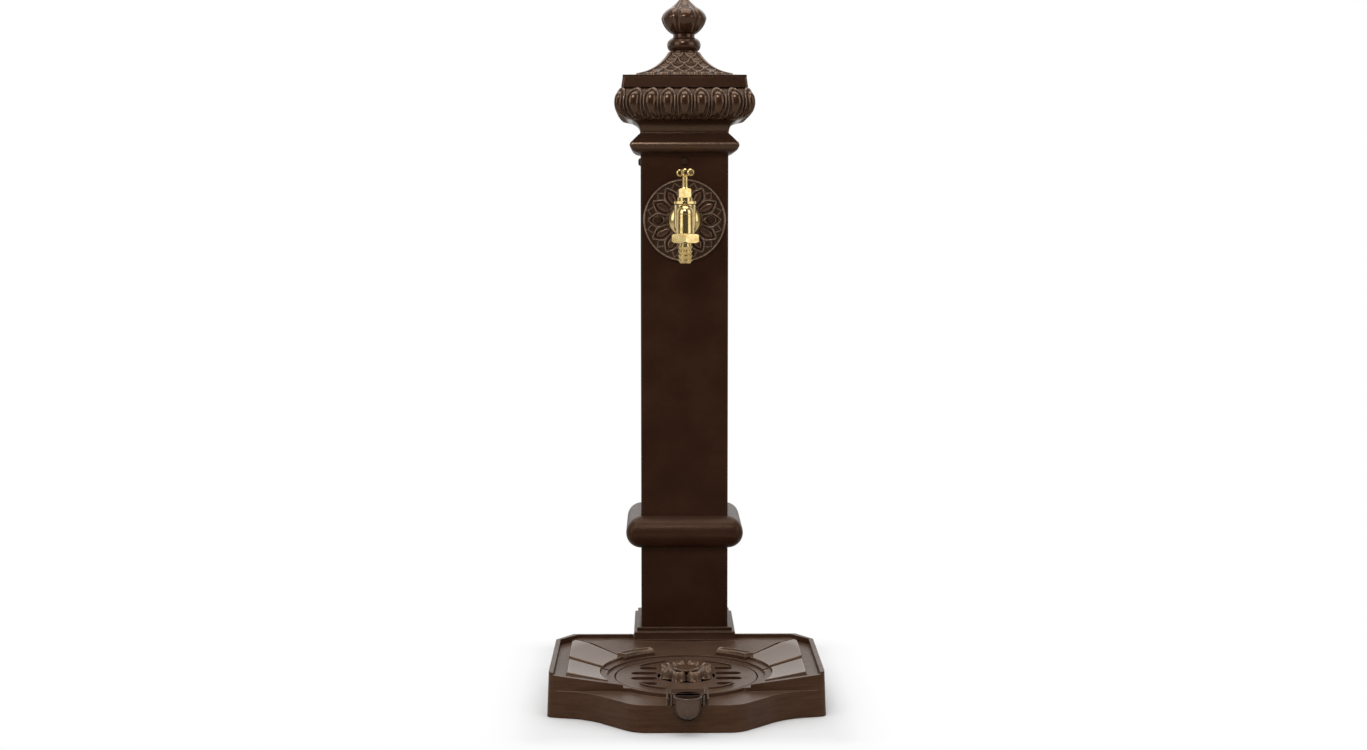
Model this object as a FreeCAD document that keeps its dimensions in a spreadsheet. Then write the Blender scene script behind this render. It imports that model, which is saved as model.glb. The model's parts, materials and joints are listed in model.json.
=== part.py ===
import FreeCAD, Part
import math
import os
import Sketcher
from FreeCAD import Placement, Rotation, Vector

# A cast garden fountain: a dished basin, a square column with a collar and a
# gadrooned head, and a brass tap on a rosette. Millimetres, +Z up, front is -Y.
# Heights are measured from the ground and plan places from the column's axis,
# or from the neighbouring feature where a heading below says so.

SIZES = {
    # Fits between pieces
    "fit_gap": 0.2,
    "thread_gap": 0.05,
    "running_gap": 0.1,
    # Basin casting, seen from above; hollow_start_y is in front of the corner
    # line, and the other places but bow_reach are behind the bow's front
    "basin_half": 149.5,
    "basin_back": 46.0,
    "basin_chamfer_x": 19.5,
    "basin_chamfer_y": 29.0,
    "basin_corner_y": 60.5,
    "basin_corner_round": 8.5,
    "bow_reach": 294.0,
    "bow_flat_half": 44.0,
    "bow_round": 32.0,
    "bow_turn_x": 66.0,
    "bow_turn_y": 11.5,
    "hollow_start_x": 120.0,
    "hollow_start_y": 5.0,
    "hollow_end_x": 85.0,
    "hollow_end_y": 31.0,
    "hollow_round": 76.0,
    "basin_draft": 2.3,
    # Basin casting, heights
    "basin_height": 48.5,
    "ledge_height": 29.0,
    "rim_width": 5.0,
    "rim_lean": 2.0,
    "front_rim": 1.2,
    "wall": 6.0,
    "tray_level": 44.5,
    "panel_height": 2.2,
    "tray_slope": 0.14,
    "strip_width": 12.5,
    # Grate and its seat; grate_y is behind the corner line
    "grate_y": 48.5,
    "grate_radius": 77.4,
    "grate_gap": 0.9,
    "grate_thickness": 4.8,
    "grate_top": 33.3,
    "seat_width": 6.5,
    "seat_wall": 3.2,
    "band_width": 4.5,
    "slot_width": 13.0,
    "slot_pitch": 22.6,
    "slot_start": 31.0,
    "slot_reach": 61.5,
    "crescent_radius": 64.0,
    "crescent_start_angle": 38.0,
    "crescent_end_angle": 70.0,
    "crescent_outer_round": 40.0,
    "crescent_inner_round": 90.0,
    "crescent_height": 2.4,
    # Grooves between the tray's raised panels, right-hand side, from the grate's
    # centre: a and b behind it, c in front
    "groove_width": 3.6,
    "groove_a_in_x": 70.6,
    "groove_a_in_y": 68.0,
    "groove_a_out_x": 121.8,
    "groove_a_out_y": 121.0,
    "groove_b_in_x": 84.0,
    "groove_b_in_y": 16.0,
    "groove_b_out_x": 136.0,
    "groove_b_out_y": 41.0,
    "groove_c_in_x": 71.0,
    "groove_c_in_y": 48.0,
    "groove_c_out_x": 136.0,
    "groove_c_out_y": 31.0,
    # Curved bars behind the grate
    "bar_inner": 88.0,
    "bar_outer": 101.0,
    "bar_start_angle": 40.0,
    "bar_end_angle": 67.0,
    "bar_top": 40.0,
    # Sump and waste
    "sump_floor": 16.0,
    "sump_floor_thickness": 5.0,
    "waste_bore": 17.0,
    "waste_tube": 20.0,
    "waste_flange": 29.0,
    "waste_flange_thickness": 2.2,
    "waste_nut_across": 50.0,
    "waste_nut_thickness": 5.0,
    "waste_washer_thickness": 1.5,
    "waste_end": 1.5,
    # Overflow cup at the front
    "cup_radius": 14.5,
    "cup_wall": 1.7,
    "cup_centre": 27.4,
    "cup_rim": 39.5,
    "cheek_inner": 15.8,
    "cheek_thickness": 2.0,
    "cheek_top": 37.7,
    "hood_start": 8.8,
    "cup_bead": 0.5,
    "neck_inset": 0.3,
    "cup_lip": 2.4,
    "mouth_inset": 2.0,
    "channel_floor": 31.5,
    "channel_thickness": 3.0,
    "channel_depth": 7.0,
    "notch_gap": 2.3,
    "fin_thickness": 1.8,
    "fin_top": 36.0,
    "fin_setback": 0.5,
    "spout_block": 8.0,
    # Plinth
    "foot_half": 58.5,
    "foot_level": 44.2,
    "plinth_step": 9.0,
    "plinth_half": 55.0,
    "plinth_height": 13.5,
    "socket_depth": 7.5,
    "spigot_height": 22.0,
    "spigot_wall": 6.0,
    "boss_place": 32.0,
    "boss_radius": 8.0,
    "boss_height": 14.0,
    "foot_bolt_radius": 4.0,
    "foot_bolt_length": 24.0,
    "foot_plate": 6.0,
    "bolt_gap": 0.5,
    "bolt_washer": 1.6,
    "bolt_head": 5.3,
    # Column
    "column_half": 50.0,
    "column_wall": 4.0,
    "column_edge": 2.5,
    "column_top": 603.5,
    # Collar half way down the column
    "collar_bottom": 150.5,
    "collar_height": 37.3,
    "collar_reach": 17.5,
    # Cap
    "torus_reach": 12.3,
    "torus_height": 23.2,
    "torus_crest": 9.6,
    "torus_round": 11.5,
    "torus_nose": 2.8,
    "torus_nose_in": 0.8,
    "neck_half": 50.5,
    "cove_top": 641.5,
    "cove_half": 63.0,
    "cove_round": 14.3,
    "ovolo_top": 677.0,
    "cap_reach": 79.6,
    "cap_reach_height": 660.0,
    "egg_relief": 1.6,
    "fascia_bottom_half": 71.4,
    "fascia_top_half": 69.8,
    "fascia_top": 688.5,
    "cap_hollow_half": 40.8,
    "cap_wall": 7.0,
    "cap_spigot": 18.0,
    "cap_plate": 5.0,
    "egg_pitch": 20.0,
    "egg_half": 8.4,
    "egg_foot_half": 3.6,
    # Roof
    "eave": 2.5,
    "roof_flat_half": 55.0,
    "roof_flat_height": 692.3,
    "roof_top_half": 16.2,
    "roof_top": 720.5,
    "roof_round": 56.0,
    "roof_wall": 4.0,
    # Finial, each height above the one before it
    "finial_base": 16.4,
    "finial_ring_low": 2.0,
    "finial_throat": 16.4,
    "finial_neck_height": 15.3,
    "finial_ring_round": 8.7,
    "finial_neck": 12.6,
    "onion_start_height": 3.7,
    "onion_start_half": 12.5,
    "onion_half": 26.8,
    "onion_height": 18.5,
    "onion_round": 25.0,
    "onion_shoulder": 17.3,
    "onion_shoulder_height": 11.5,
    "onion_shoulder_round": 17.0,
    "onion_slope_half": 6.2,
    "onion_slope_height": 9.5,
    "onion_slope_round": 60.0,
    "finial_tip": 2.0,
    "finial_tip_rise": 4.2,
    "finial_top": 1.6,
    "crease_depth": 1.8,
    "crease_angle": 7.0,
    "stud_radius": 5.0,
    "stud_in_finial": 24.0,
    "stud_below_plate": 13.0,
    "stud_nut_across": 17.0,
    "stud_nut_height": 8.0,
    "stud_washer_radius": 12.0,
    "stud_washer_height": 2.0,
    # Screws
    "cap_screw_height": 595.0,
    "screw_radius": 2.4,
    "screw_head_radius": 4.5,
    "screw_head_height": 3.0,
    "screw_length": 9.5,
    "base_screw_height": 64.0,
    "base_screw_side": 14.0,
    "collar_screw_radius": 3.0,
    "collar_screw_side": 30.0,
    # Rosette
    "rosette_radius": 47.4,
    "rosette_plate": 2.4,
    "rosette_rim_width": 6.0,
    "rosette_rim_height": 5.0,
    "rosette_hub": 20.0,
    "rosette_hub_height": 5.6,
    "petal_start": 17.0,
    "petal_reach": 40.5,
    "petal_half": 6.6,
    "petal_height": 4.4,
    "leaf_side_round": 26.0,
    "leaf_tip_round": 18.0,
    "rosette_screw_place": 29.6,
    # Tap, distances forward of the column's face
    "tap_height": 528.0,
    "tap_axis": 40.0,
    "spout_axis": 62.0,
    "tail_radius": 10.4,
    "tail_bore": 4.8,
    "tail_bore_drop": 4.5,
    "tail_inside": 22.0,
    "flange_radius": 18.4,
    "flange_thickness": 6.0,
    "barrel_radius": 11.0,
    "chamber_turn_in": 5.0,
    "chamber_turn_up": 6.0,
    "chamber_turn_round": 7.0,
    "chamber_radius": 12.2,
    "chamber_bore": 10.0,
    "chamber_low": 14.0,
    "chamber_top": 17.5,
    "seat_level": 2.5,
    "seat_bore": 5.2,
    "spout_radius": 10.2,
    "spout_bore": 5.6,
    "spout_rise": 8.0,
    "spout_thread_radius": 13.1,
    "spout_end": 19.6,
    "spout_thread_length": 3.9,
    # Union nut, washer and hose tail
    "union_across": 30.0,
    "union_height": 10.0,
    "union_web": 1.8,
    "union_washer": 1.4,
    "tail_flange": 1.8,
    "tail_flange_radius": 12.3,
    "hose_radius": 7.0,
    "hose_barb": 1.0,
    "barb_pitch": 5.0,
    "hose_bore": 5.2,
    "hose_length": 26.2,
    # Headwork
    "bonnet_thread": 7.0,
    "bonnet_washer": 0.8,
    "bonnet_collar": 3.0,
    "bonnet_collar_across": 24.6,
    "bonnet_step": 8.75,
    "bonnet_step_height": 4.2,
    "bonnet_neck": 5.7,
    "bonnet_neck_height": 7.5,
    "spindle_thread": 6.0,
    "spindle_thread_length": 11.3,
    "spindle_stem": 3.05,
    "packing_radius": 4.8,
    "packing_height": 4.0,
    "gland_across": 13.7,
    "gland_height": 11.5,
    "hub_radius": 4.6,
    "hub_height": 9.4,
    "handle_height": 53.2,
    "handle_bar_radius": 3.0,
    "handle_bar_half": 18.5,
    "handle_end_radius": 4.0,
    "handle_end_length": 4.5,
    "handle_yaw": 106.0,
    "jumper_stem": 2.5,
    "jumper_stem_length": 6.0,
    "jumper_disc": 8.0,
    "jumper_disc_height": 1.5,
    "valve_washer_radius": 7.5,
    "valve_washer_height": 2.0,
    # Supply inside the column
    "back_nut_across": 30.0,
    "back_nut_height": 8.0,
    "back_washer_height": 1.5,
    "elbow_radius": 14.0,
    "elbow_bore": 8.0,
    "elbow_drop": 26.0,
    "elbow_socket": 14.0,
    "riser_radius": 10.6,
    "riser_bore": 8.1,
    "inlet_low": 4.0,
    "inlet_height": 30.0,
    "inlet_across": 27.0,
    "inlet_thread_radius": 9.3,
    "inlet_thread_depth": 15.0,
    "clip_height": 320.0,
    "clip_width": 16.0,
    "clip_wall": 2.0,
    # Knob on the grate
    "knob_flange": 21.0,
    "knob_flange_height": 2.4,
    "knob_petal_half": 5.6,
    "petal_side_round": 40.0,
    "petal_tip_round": 12.0,
    "knob_petal_reach": 31.5,
    "knob_petal_height": 5.2,
    "knob_neck": 9.2,
    "knob_neck_height": 5.0,
    "knob_radius": 13.6,
    "knob_top": 45.0,
    "knob_dome": 2.2,
    "knob_stud": 4.9,
    "knob_nut_across": 16.0,
    "knob_nut_height": 5.0,
}

FULL_TURN = 360
KNOB_PETALS = 8
FINIAL_LOBES = 6
CREASE_TURN = 8
PETALS = 12
GROUND = 0
BELOW_ALL = -10
ABOVE_ALL = 60
FAR_OUT = 330
HALF_ROUND = 0.01
WING = 0.74
SLOT_ROWS = (-1.5, -0.5, 0.5, 1.5)


class Size:
    """A length that carries both its number and its expression on the sheet."""

    def __init__(self, value, text):
        self.value = value
        self.text = text

    def __add__(self, other):
        other = size(other)
        return Size(self.value + other.value, f"({self.text} + {other.text})")

    def __radd__(self, other):
        return size(other) + self

    def __sub__(self, other):
        other = size(other)
        return Size(self.value - other.value, f"({self.text} - {other.text})")

    def __rsub__(self, other):
        return size(other) - self

    def __mul__(self, other):
        other = size(other)
        return Size(self.value * other.value, f"({self.text} * {other.text})")

    def __rmul__(self, other):
        return size(other) * self

    def __truediv__(self, other):
        other = size(other)
        return Size(self.value / other.value, f"({self.text} / {other.text})")

    def __neg__(self):
        return Size(-self.value, f"(0 - {self.text})")


def size(number):
    """Any number as a Size."""
    if isinstance(number, Size):
        return number
    return Size(float(number), f"({float(number)})")


def root(inner):
    return Size(math.sqrt(inner.value), f"sqrt({inner.text})")


def sine(angle):
    return Size(math.sin(math.radians(angle.value)), f"sin({angle.text})")


def cosine(angle):
    return Size(math.cos(math.radians(angle.value)), f"cos({angle.text})")


class Book:
    """Every driving size by its name."""

    def __init__(self, rows):
        for name, value in rows.items():
            setattr(self, name, Size(value, f"Sizes.{name}"))


S = Book(SIZES)
doc = FreeCAD.newDocument("garden_fountain")

# Sizes that several pieces share
CORNER_REACH = S.bow_reach - S.basin_corner_y
GRATE_REACH = CORNER_REACH - S.grate_y
AXIS_Y = (S.bow_reach + S.cup_radius - S.cap_reach) / 2
GRATE_Y = AXIS_Y - GRATE_REACH
FACE_Y = AXIS_Y - S.column_half
COLUMN_INNER = S.column_half - S.column_wall
COLUMN_FOOT = S.foot_level + S.plinth_height - S.socket_depth
SEAT_RADIUS = S.grate_radius + S.grate_gap
COLLAR_RADIUS = SEAT_RADIUS + S.seat_wall
BAND_RADIUS = COLLAR_RADIUS + S.band_width
GRATE_BOTTOM = S.grate_top - S.grate_thickness
BAND_LEVEL = S.grate_top
PANEL_LEVEL = BAND_LEVEL + S.panel_height
RIM_INNER = S.basin_half - S.rim_width - S.rim_lean
CHANNEL_BACK = GRATE_REACH + COLLAR_RADIUS + 0.4
NOTCH_HALF = S.cheek_inner + S.cheek_thickness + S.notch_gap
PLATE_BOTTOM = S.fascia_top - S.cap_plate
HEAD_Y = FACE_Y - S.tap_axis
SPOUT_Y = FACE_Y - S.spout_axis
SEAT_HEIGHT = S.tap_height + S.seat_level
CHAMBER_TOP = S.tap_height + S.chamber_top
COLLAR_TOP = CHAMBER_TOP + S.bonnet_washer + S.bonnet_collar
STEP_TOP = COLLAR_TOP + S.bonnet_step_height
NECK_TOP = STEP_TOP + S.bonnet_neck_height
SPOUT_END = S.tap_height - S.spout_end
UNION_WEB_TOP = SPOUT_END - S.union_washer - S.tail_flange - S.running_gap
UNION_BOTTOM = UNION_WEB_TOP - S.union_web
HANDLE_Z = S.tap_height + S.handle_height
ONION_START = S.roof_top + S.finial_ring_low + S.finial_neck_height + S.onion_start_height
ONION_WIDEST = ONION_START + S.onion_height
ONION_SHOULDER = ONION_WIDEST + S.onion_shoulder_height
ONION_SLOPE = ONION_SHOULDER + S.onion_slope_height
FINIAL_TOP = ONION_SLOPE + S.finial_tip_rise + S.finial_top
WASTE_NUT_TOP = S.sump_floor - S.sump_floor_thickness - S.waste_washer_thickness


def write_sheet():
    sheet = doc.addObject("Spreadsheet::Sheet", "Sizes")
    for row, (name, value) in enumerate(SIZES.items(), 1):
        sheet.set(f"A{row}", name)
        sheet.set(f"B{row}", str(value))
        sheet.setAlias(f"B{row}", name)
    doc.recompute()


def bind(thing, field, length):
    """Set a field and tie it to the sheet."""
    length = size(length)
    if "Sizes." in length.text:
        thing.setExpression(field, length.text)
    elif not field.startswith("."):
        setattr(thing, field, length.value)


def put(thing, place, turn=Rotation()):
    """Give a thing its place, tied to the sheet, and its turn."""
    place = [size(part) for part in place]
    thing.Placement = Placement(Vector(*[part.value for part in place]), turn)
    for letter, part in zip("xyz", place):
        bind(thing, f".Placement.Base.{letter}", part)
    return thing


FACING_FRONT = Rotation(Vector(1, 0, 0), 90)
FACING_BACK = Rotation(Vector(1, 0, 0), -90)
FACING_LEFT = Rotation(Vector(0, 1, 0), -90)
CORNER_FRONT = Rotation(Vector(0, 0, 1), 30)


def arc_centre(start, end, radius, side):
    """Centre of the short arc from start to end, on its left for side +1."""
    middle = (start + end) * 0.5
    chord = end - start
    half = chord.Length / 2
    lift = math.sqrt(max(radius * radius - half * half, 0.0))
    left = Vector(-chord.y, chord.x, 0).normalize()
    return middle + left * (lift * side)


def draw(sketch, corners):
    """Closed outline: each corner is (x, y), or (x, y, radius, side) where an
    arc ends, whose centre lies on the left for side +1."""
    corners = [tuple(corner) for corner in corners]
    count = len(corners)
    points = [Vector(size(c[0]).value, size(c[1]).value, 0) for c in corners]
    shapes = []
    ends = []
    for index in range(count):
        start = points[index - 1]
        end = points[index]
        if len(corners[index]) == 2:
            shapes.append(Part.LineSegment(start, end))
            ends.append((1, 2))
            continue
        radius = size(corners[index][2]).value
        side = corners[index][3]
        centre = arc_centre(start, end, radius, side)
        circle = Part.Circle(centre, Vector(0, 0, 1), (start - centre).Length)
        first, last = (start, end) if side > 0 else (end, start)
        low = math.atan2(first.y - centre.y, first.x - centre.x)
        high = math.atan2(last.y - centre.y, last.x - centre.x)
        if high <= low:
            high += 2 * math.pi
        shapes.append(Part.ArcOfCircle(circle, low, high))
        ends.append((1, 2) if side > 0 else (2, 1))
    sketch.addGeometry(shapes, False)
    rules = []
    texts = []
    for index in range(count):
        after = (index + 1) % count
        tail = ends[index][1]
        rules.append(Sketcher.Constraint("Coincident", index, tail, after, ends[after][0]))
        texts.append(None)
        for name, value in (("DistanceX", corners[index][0]), ("DistanceY", corners[index][1])):
            value = size(value)
            rules.append(Sketcher.Constraint(name, -1, 1, index, tail, value.value))
            texts.append(value.text)
        if len(corners[index]) > 2:
            value = size(corners[index][2])
            rules.append(Sketcher.Constraint("Radius", index, value.value))
            texts.append(value.text)
    sketch.addConstraint(rules)
    for index, text in enumerate(texts):
        if text and "Sizes." in text:
            sketch.setExpression(f"Constraints[{index}]", text)


def mirrored(chain):
    """The closed outline whose right-hand side is the given chain."""
    left = []
    for index in range(len(chain) - 1, -1, -1):
        point = (-size(chain[index][0]), chain[index][1])
        if index + 1 < len(chain) and len(chain[index + 1]) > 2:
            point = point + (chain[index + 1][2], chain[index + 1][3])
        left.append(point)
    return list(chain) + left


def flipped(corners):
    """The same closed outline on the other side of the middle."""
    count = len(corners)
    result = []
    for index in range(count - 1, -1, -1):
        after = tuple(corners[(index + 1) % count])
        result.append((-size(corners[index][0]), corners[index][1]) + after[2:])
    return result


def turned(name, corners, place, turn=Rotation()):
    """A body turned about its own Z axis; corners are (radius, height)."""
    body = doc.addObject("PartDesign::Body", name)
    sketch = body.newObject("Sketcher::SketchObject", name + "_profile")
    planes = [item for item in body.Origin.OriginFeatures if item.Role == "XZ_Plane"]
    sketch.AttachmentSupport = [(planes[0], "")]
    sketch.MapMode = "FlatFace"
    draw(sketch, corners)
    feature = body.newObject("PartDesign::Revolution", name + "_turning")
    feature.Profile = sketch
    feature.ReferenceAxis = (sketch, ["V_Axis"])
    feature.Angle = FULL_TURN
    sketch.Visibility = False
    return put(body, place, turn)


def ring(name, inner, outer, low, high, place, turn=Rotation()):
    """A plain turned ring, washer or tube."""
    corners = [(inner, low), (outer, low), (outer, high), (inner, high)]
    return turned(name, corners, place, turn)


def prism(name, corners, low, high, taper=None):
    """An outline in plan, about the column's axis, raised from low to high."""
    sketch = doc.addObject("Sketcher::SketchObject", name + "_outline")
    put(sketch, (0, AXIS_Y, low))
    draw(sketch, corners)
    solid = doc.addObject("Part::Extrusion", name)
    solid.Base = sketch
    solid.DirMode = "Custom"
    solid.Dir = Vector(0, 0, 1)
    solid.Solid = True
    bind(solid, "LengthFwd", size(high) - low)
    if taper is not None:
        bind(solid, "TaperAngle", taper)
    return solid


def through(name, corners, length, yaw, front_only=False):
    """An outline in elevation run straight through the column's axis."""
    sketch = doc.addObject("Sketcher::SketchObject", f"{name}_elevation")
    put(sketch, (0, AXIS_Y, 0), Rotation(Vector(0, 0, 1), yaw).multiply(FACING_FRONT))
    draw(sketch, corners)
    solid = doc.addObject("Part::Extrusion", name)
    solid.Base = sketch
    solid.DirMode = "Normal"
    solid.Solid = True
    solid.Symmetric = not front_only
    bind(solid, "LengthFwd", length)
    return solid


def moulding(name, chain, reach):
    """A square moulding, mitred at its corners, from its right-hand profile."""
    outline = mirrored(chain)
    runs = [through(f"{name}_run{yaw}", outline, reach * 2, yaw) for yaw in (0, 90)]
    solid = doc.addObject("Part::MultiCommon", name)
    solid.Shapes = runs
    return solid


def box(name, x, y, z):
    """A box from its low and high coordinates about the column's axis."""
    solid = doc.addObject("Part::Box", name)
    for field, (low, high) in (("Length", x), ("Width", y), ("Height", z)):
        bind(solid, field, size(high) - low)
    return put(solid, (x[0], AXIS_Y + y[0], z[0]))


def rod(name, radius, length, place, turn=Rotation()):
    solid = doc.addObject("Part::Cylinder", name)
    bind(solid, "Radius", radius)
    bind(solid, "Height", length)
    return put(solid, place, turn)


def hexagon(name, across, height, place, turn=Rotation()):
    solid = doc.addObject("Part::Prism", name)
    solid.Polygon = 6
    bind(solid, "Circumradius", across / root(size(3)))
    bind(solid, "Height", height)
    return put(solid, place, turn)


def fuse(name, *solids):
    solid = doc.addObject("Part::MultiFuse", name)
    solid.Shapes = list(solids)
    return solid


def common(name, *solids):
    solid = doc.addObject("Part::MultiCommon", name)
    solid.Shapes = list(solids)
    return solid


def cut(name, base, *tools):
    tool = tools[0] if len(tools) == 1 else fuse(name + "_tools", *tools)
    solid = doc.addObject("Part::Cut", name)
    solid.Base = base
    solid.Tool = tool
    return solid


def bored(name, base, *tools):
    """Cut ways that run into each other, one after another."""
    for index, tool in enumerate(tools[:-1]):
        base = cut(f"{name}_way{index}", base, tool)
    return cut(name, base, tools[-1])


def group(name, *solids):
    solid = doc.addObject("Part::Compound", name)
    solid.Links = list(solids)
    return solid


# Basin

def basin_sides(half, back, corner_y, front):
    """Right-hand half of the basin's plan, from its back to its front."""
    round_ = S.basin_corner_round
    start = [
        (half - S.basin_chamfer_x, -back),
        (half, -(back + S.basin_chamfer_y)),
        (half, -(corner_y - round_)),
        (half - round_, -corner_y, round_, -1),
    ]
    return mirrored(start + front)


def bow_front(inset):
    """The ogee front of the lower tier."""
    return [
        (S.hollow_start_x - inset, -(CORNER_REACH + S.hollow_start_y - inset)),
        (S.hollow_end_x - inset, -(S.bow_reach - S.hollow_end_y - inset), S.hollow_round, 1),
        (S.bow_turn_x - inset, -(S.bow_reach - S.bow_turn_y - inset)),
        (S.bow_flat_half, -(S.bow_reach - inset), S.bow_round - inset, -1),
    ]


def round_front(radius):
    """The upper tier's front: straight wings, then the grate's round collar."""
    wing = radius * WING
    reach = GRATE_REACH + root(radius * radius - wing * wing)
    chain = [(wing, -reach)]
    return chain, (0, -(GRATE_REACH + radius))


def upper_plan(half, back, corner_y, radius):
    chain, nose = round_front(radius)
    outline = basin_sides(half, back, corner_y, chain)
    middle = len(outline) // 2
    tip = (nose[0], nose[1], radius, -1)
    after = outline[middle] + (radius, -1)
    return outline[:middle] + [tip, after] + outline[middle + 1:]


def dish(name, level, top, end):
    """The space between the tray's dished surface and a flat end."""
    slope_end = BAND_RADIUS + (top - level) / S.tray_slope
    corners = [
        (0, level),
        (BAND_RADIUS, level),
        (slope_end, top),
        (FAR_OUT, top),
        (FAR_OUT, end),
        (0, end),
    ]
    return turned(name, corners, (0, GRATE_Y, 0))


def groove(name, side, inner, outer):
    """A straight groove in plan between two points, on one side."""
    run_x = outer[0] - inner[0]
    run_y = inner[1] - outer[1]
    length = root(run_x * run_x + run_y * run_y)
    shift_x = run_y / length * S.groove_width / 2
    shift_y = run_x / length * S.groove_width / 2
    corners = [
        (inner[0] + shift_x, -inner[1] - shift_y),
        (outer[0] + shift_x, -outer[1] - shift_y),
        (outer[0] - shift_x, -outer[1] + shift_y),
        (inner[0] - shift_x, -inner[1] + shift_y),
    ]
    return prism(name, corners if side > 0 else flipped(corners), GROUND, ABOVE_ALL)


def round_grate(radius, angle):
    """A point in plan at a radius and angle about the grate's centre."""
    return (radius * cosine(angle), radius * sine(angle) - GRATE_REACH)


def curved_bar(name, side):
    """A raised bar that follows the grate behind it, on one side."""
    corners = [
        round_grate(S.bar_inner, S.bar_start_angle) + (S.bar_inner, -1),
        round_grate(S.bar_outer, S.bar_start_angle),
        round_grate(S.bar_outer, S.bar_end_angle) + (S.bar_outer, 1),
        round_grate(S.bar_inner, S.bar_end_angle),
    ]
    return prism(name, corners if side > 0 else flipped(corners), BAND_LEVEL, S.bar_top)


def tray_plan(name, front):
    """The tray's plan inside the rim, as far as a line in front."""
    return prism(
        name,
        mirrored([
            (RIM_INNER - S.basin_chamfer_x, -(S.basin_back + S.rim_width)),
            (RIM_INNER, -(S.basin_back + S.basin_chamfer_y)),
            (RIM_INNER, -size(front)),
        ]),
        GROUND,
        ABOVE_ALL,
    )


def groove_places():
    """Inner and outer end of each groove, to the right of the middle."""
    middle = GRATE_REACH
    return [
        ("a", (S.groove_a_in_x, middle - S.groove_a_in_y), (S.groove_a_out_x, middle - S.groove_a_out_y)),
        ("b", (S.groove_b_in_x, middle - S.groove_b_in_y), (S.groove_b_out_x, middle - S.groove_b_out_y)),
        ("c", (S.groove_c_in_x, middle + S.groove_c_in_y), (S.groove_c_out_x, middle + S.groove_c_out_y)),
    ]


def tray_relief():
    """What is taken off the blank above the tray: dish, grooves, strips and band."""
    inside = fuse(
        "tray_inside",
        tray_plan("tray_inside_plan", CORNER_REACH - S.wall),
        rod("tray_inside_round", BAND_RADIUS, ABOVE_ALL, (0, GRATE_Y, GROUND)),
    )
    rim_rise = S.front_rim
    front = common(
        "front_space",
        dish("front_dish", PANEL_LEVEL + rim_rise, S.tray_level + rim_rise, ABOVE_ALL),
        tray_plan("front_plan", FAR_OUT),
    )
    panels = common("panel_space", dish("panel_dish", PANEL_LEVEL, S.tray_level, ABOVE_ALL), inside)
    lines = [rod("ring_band", BAND_RADIUS, ABOVE_ALL, (0, GRATE_Y, GROUND))]
    strip = (RIM_INNER - S.strip_width, RIM_INNER)
    for side, word in ((1, "right"), (-1, "left")):
        across = strip if side > 0 else (-strip[1], -strip[0])
        lines.append(box(f"strip_{word}", across, (-FAR_OUT, -S.basin_back), (GROUND, ABOVE_ALL)))
        for letter, inner, outer in groove_places():
            lines.append(groove(f"groove_{letter}_{word}", side, inner, outer))
    sunk = dish("sunk_dish", BAND_LEVEL, S.tray_level - S.panel_height, ABOVE_ALL)
    return [front, panels, common("sunk_space", sunk, inside, fuse("sunk_plan", *lines))]


def under_tray():
    return dish("under_dish", BAND_LEVEL - S.wall, S.tray_level - S.panel_height - S.wall, BELOW_ALL)


def base_hollow():
    """The space inside the skirt, round the sump and the block behind the cup."""
    plan = (S.basin_half - S.wall, S.basin_back + S.wall, CORNER_REACH - S.wall)
    high_plan = basin_sides(*plan, [(COLLAR_RADIUS * WING, -plan[2])])
    high = prism("high_hollow_plan", high_plan, BELOW_ALL, ABOVE_ALL)
    low = prism("low_hollow", basin_sides(*plan, bow_front(S.wall)), BELOW_ALL, S.ledge_height - S.wall)
    bowl_low = S.sump_floor - S.sump_floor_thickness
    bowl = rod("bowl_outside", COLLAR_RADIUS, ABOVE_ALL, (0, GRATE_Y, bowl_low))
    block_half = NOTCH_HALF + S.wall
    block = box("spout_block", (-block_half, block_half),
                (-FAR_OUT, -(GRATE_REACH + COLLAR_RADIUS - S.wall)), (S.spout_block, ABOVE_ALL))
    return cut("base_hollow", fuse("hollows", common("high_hollow", under_tray(), high), low), bowl, block)


def base_fins():
    """Fins beside the cup and the curved bars behind the grate."""
    fins = []
    low = NOTCH_HALF
    high = NOTCH_HALF + S.fin_thickness
    for side, word in ((1, "right"), (-1, "left")):
        across = (low, high) if side > 0 else (-high, -low)
        fins.append(box(f"fin_{word}", across,
                        (-(S.bow_reach - S.fin_setback), -(GRATE_REACH + COLLAR_RADIUS - S.wall)),
                        (S.ledge_height - 1, S.fin_top)))
        fins.append(curved_bar(f"bar_{word}", side))
    return fins


def cup_room():
    """Room for the cup and its channel, with the cup's own round bottom."""
    radius = S.cup_radius + S.fit_gap
    bead = radius + S.cup_bead
    notch = box("cup_notch", (-NOTCH_HALF, NOTCH_HALF), (-FAR_OUT, -CHANNEL_BACK),
                (S.channel_floor - S.channel_thickness - S.fit_gap, ABOVE_ALL))
    pocket = turned(
        "cup_pocket",
        [
            (0, S.cup_centre - radius),
            (radius, S.cup_centre, radius, 1),
            (bead, S.cup_centre + 1),
            (bead, ABOVE_ALL),
            (0, ABOVE_ALL),
        ],
        (0, AXIS_Y - S.bow_reach, 0),
    )
    return [notch, pocket]


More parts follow.
